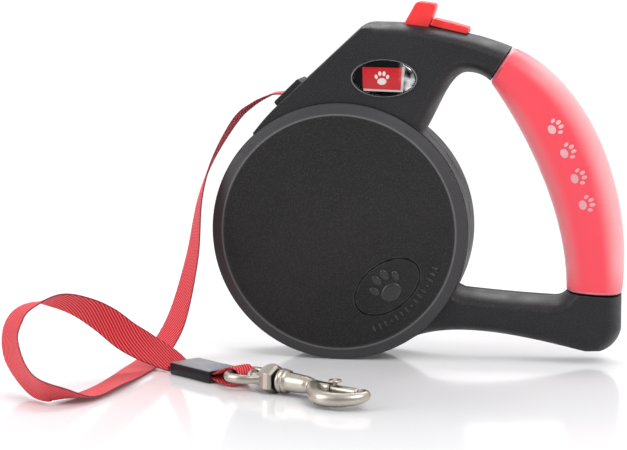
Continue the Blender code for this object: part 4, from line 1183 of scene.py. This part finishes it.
def snap_body(paint):
    """The barrel with its two rings, running into the broad bow."""
    bm = bmesh.new()
    barrel = (
        (3.5, 3.9), (3.7, 4.5), (4.3, 4.75), (5.0, 4.7), (5.4, 4.3), (5.6, 4.0), (5.9, 4.35), (6.5, 4.6),
        (7.1, 4.4), (7.4, 3.85), (8.4, 3.7), (12.0, 3.55), (16.0, 3.3), (18.0, 2.85), (19.0, 2.5),
        (22.5, 2.35), (26.8, 2.4), (27.6, 2.2),
    )
    fill_loops(bm, hook_rings(barrel, 72))
    rows = (
        (17.0, 0.0, 2.4), (20.0, 1.4, 2.55), (22.6, 3.9, 3.0), (25.2, 6.8, 3.1), (28.4, 9.2, 3.0),
        (32.5, 10.1, 2.9), (37.8, 9.0, 2.7), (42.0, 6.0, 2.45), (43.9, 2.8, 2.15), (43.4, 0.6, 1.95),
        (41.2, 0.0, 1.75),
    )
    bow = smooth_points(rows, 8)
    path = [hook_point(p.x, p.y * cos(BOW_TILT), -p.y * sin(BOW_TILT)) for p in bow]
    fill_loops(bm, bar(path, [p.z for p in bow], 28, tilt=BOW_TILT))
    web = smooth_points(((18.5, 0.6, 2.2), (22.0, 1.8, 2.1), (25.4, 3.8, 2.0), (28.0, 6.6, 2.0)), 6)
    path = [hook_point(p.x, p.y, -1.0) for p in web]
    fill_loops(bm, bar(path, [p.z for p in web], 24))
    piece = cast("snap_body", bm, 0.17, 6, paint)
    bore(piece, "bolt_way", 8.2, 30.0, BOLT_R + GAP)
    bore(piece, "rivet_seat", 3.0, 4.9, RIVET_WAY_R)
    slot = rounded(rectangle(20.4, -1.3, 30.0, 1.3), 1.2, 6)
    boolean(piece, loft("knob_way", [[hook_point(s, side, up) for s, side in slot] for up in (0.0, 6.0)]))
    stands_for(bake(piece, 50.0), "hook", "hook_metal", "hook_body")


def snap_bolt(paint):
    """The sliding bolt with its domed tip, and the low dished thumb knob."""
    rows = [(BOLT_BACK, BOLT_R - 0.3), (BOLT_BACK + 0.3, BOLT_R)]
    for i in range(7):
        angle = radians(13.0 * i)
        rows.append((BOLT_TIP - 1.0 + sin(angle), BOLT_R - 1.0 + cos(angle)))
    bolt = loft("snap_bolt", hook_rings(rows, 48), paint, sharp=50.0)
    stands_for(bolt, "bolt", "hook_metal", "hook_bolt")
    knob = (
        (0.3, 0.95), (2.75, 0.95), (2.8, 1.7), (2.9, 2.25), (3.1, 2.5), (3.4, 2.45), (3.7, 2.15),
        (3.8, 1.75), (3.65, 1.35), (3.35, 0.9), (3.2, 0.4),
    )
    loops = []
    for height, r in knob:
        loops.append([hook_point(s, side, height) for s, side in circle((KNOB_AT, 0.0), r, 40)])
    stands_for(loft("snap_knob", loops, paint, sharp=50.0), "bolt", "hook_metal", "bolt_knob")


# ------------------------ carried over CAD nodes


def paint_nodes(paints):
    """Gives every CAD node that is still shown its worked material."""
    for paint, names in paints:
        for name in names:
            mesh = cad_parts[name].data
            mesh.materials.clear()
            mesh.materials.append(paint)


# ------------------------ studio


def area_light(name, at, size, power):
    """A soft box that looks at the frame's origin; its place and size are in metres."""
    light = bpy.data.lights.new(name, "AREA")
    light.shape = "RECTANGLE"
    light.size, light.size_y = size
    light.energy = power
    add_object(name, light, at, -Vector(at))


def studio():
    """Pale floor, white surroundings and three soft boxes."""
    bm = bmesh.new()
    low = CAD_BOX[0][2] / MM
    corners = rectangle(-FLOOR_HALF, -FLOOR_HALF, FLOOR_HALF, FLOOR_HALF)
    bm.faces.new([bm.verts.new((x, y, low)) for x, y in corners])
    floor = add_mesh("studio_floor", bm, pale_floor())
    floor.location = (0.0, 0.0, 0.0)

    world = bpy.data.worlds.new("studio")
    bpy.context.scene.world = world
    world.use_nodes = True
    world.node_tree.nodes.clear()
    sky = Nodes(world.node_tree)
    depth = sky.split(sky.node("TexCoord", output="Generated"))["Y"]
    share = sky.span(depth, -0.96, -0.1, kind="LINEAR")
    tone = sky.mix(share, (0.3, 0.3, 0.31, 1.0), (0.95, 0.95, 0.96, 1.0))
    lit = sky.node("Background", {"Color": tone, "Strength": 0.9})
    seen = sky.node("Background", {"Color": WHITE, "Strength": BACKDROP})
    by_camera = sky.node("LightPath", output="Is Camera Ray")
    both = sky.node("MixShader", {0: by_camera, 1: lit, 2: seen})
    sky.feed(sky.tree.nodes.new("ShaderNodeOutputWorld").inputs["Surface"], both)

    area_light("key_box", (0.6, -0.7, 0.85), (0.6, 0.6), 7.5)
    area_light("side_box", (-0.95, -0.45, 0.45), (0.5, 0.8), 5.0)
    area_light("back_box", (0.1, 0.75, 0.9), (1.0, 0.5), 10.0)


def camera():
    """The camera a little right of the badge side and a little above."""
    level = cos(CAMERA_RISE)
    back = Vector((sin(CAMERA_TURN) * level, -cos(CAMERA_TURN) * level, sin(CAMERA_RISE)))
    lens = bpy.data.cameras.new("camera")
    lens.lens = CAMERA_LENS
    lens.sensor_width = 36.0
    lens.clip_start = 0.01
    bpy.context.scene.camera = add_object("camera", lens, place(AIM) + back * CAMERA_AWAY * MM, -back)
    bpy.context.scene.view_settings.view_transform = "Standard"


def build():
    charcoal = moulded_plastic("charcoal_plastic", rgb(27, 26, 28), rgb(34, 33, 35), 0.5)
    # Cover plastic with a painted sheen on its bevelled ring and a painted highlight along its bead.
    cover_black = moulded_plastic("cover_black", rgb(22, 21, 22), rgb(30, 28, 29), 0.5, 0.06, band=0.6)
    mark_black = moulded_plastic("mark_black", rgb(34, 33, 34), rgb(42, 41, 42), 0.34, 0.02, 0.5)
    # The sleeve's upward faces carry a painted sheen.
    sleeve_black = moulded_plastic(
        "sleeve_black", rgb(9, 9, 14), rgb(14, 14, 20), 0.34, 0.02, 0.2, flecks=0.02, painted_top_sheen=0.55
    )
    spool_grey = moulded_plastic("spool_grey", rgb(108, 110, 114), rgb(122, 124, 128), 0.45)
    core_red = moulded_plastic("core_red", rgb(214, 46, 60), rgb(228, 60, 72), 0.4)
    # Pale grey paint for the badge's ring: a painted highlight along its lip.
    rim_highlight_grey = moulded_plastic("rim_highlight_grey", rgb(96, 94, 92), rgb(118, 116, 114), 0.26, 0.01, 0.6)
    black = gloss_black()
    red = printed("badge_red", rgb(226, 34, 42), rgb(242, 56, 60))
    pale = printed("badge_pale", rgb(240, 232, 226), rgb(250, 244, 240))
    clear = clear_window()
    coral = gel("coral_gel", rgb(238, 76, 90), rgb(230, 166, 170))
    pale_gel = gel("pale_gel", rgb(246, 182, 184), rgb(246, 196, 198))
    button_red = button_plastic()
    woven = tape_weave("tape_twill", True)
    woven_straight = tape_weave("tape_twill_straight", False)
    satin = nickel("satin_nickel", rgb(190, 183, 172), rgb(60, 53, 46), 0.36)
    steel = nickel("screw_steel", rgb(176, 177, 180), rgb(70, 70, 72), 0.26)
    spring = nickel("spring_steel", rgb(140, 143, 152), rgb(60, 60, 66), 0.24)

    front_shell(charcoal)
    rear_shell(charcoal)
    screws(steel)
    cover("cover_front_moulding", -1.0, cover_black, "front_cover")
    cover("cover_rear_moulding", 1.0, cover_black, "rear_cover")
    cover_marks(mark_black)
    badge(black, rim_highlight_grey, red, pale, clear)
    grip_gel(coral)
    grip_marks(pale_gel)
    brake_tab(button_red)
    lock_pad(button_red)
    nozzle(charcoal)
    tapes(woven, woven_straight)
    joint_sleeve(sleeve_black)
    snap_eye(satin)
    snap_body(satin)
    snap_bolt(satin)
    paint_nodes(
        (
            (core_red, ("grip_core",)),
            (spool_grey, ("spool", "ratchet_flange", "spring_cover")),
            (woven_straight, ("tape_run", "tape_coil")),
            (spring, ("mainspring", "brake_spring", "bolt_spring")),
            (steel, ("spool_axle", "front_washer", "rear_washer", "brake_pawl", "pawl_pin", "guide_bar")),
            (satin, ("swivel_rivet",)),
        )
    )
    studio()
    camera()


build()
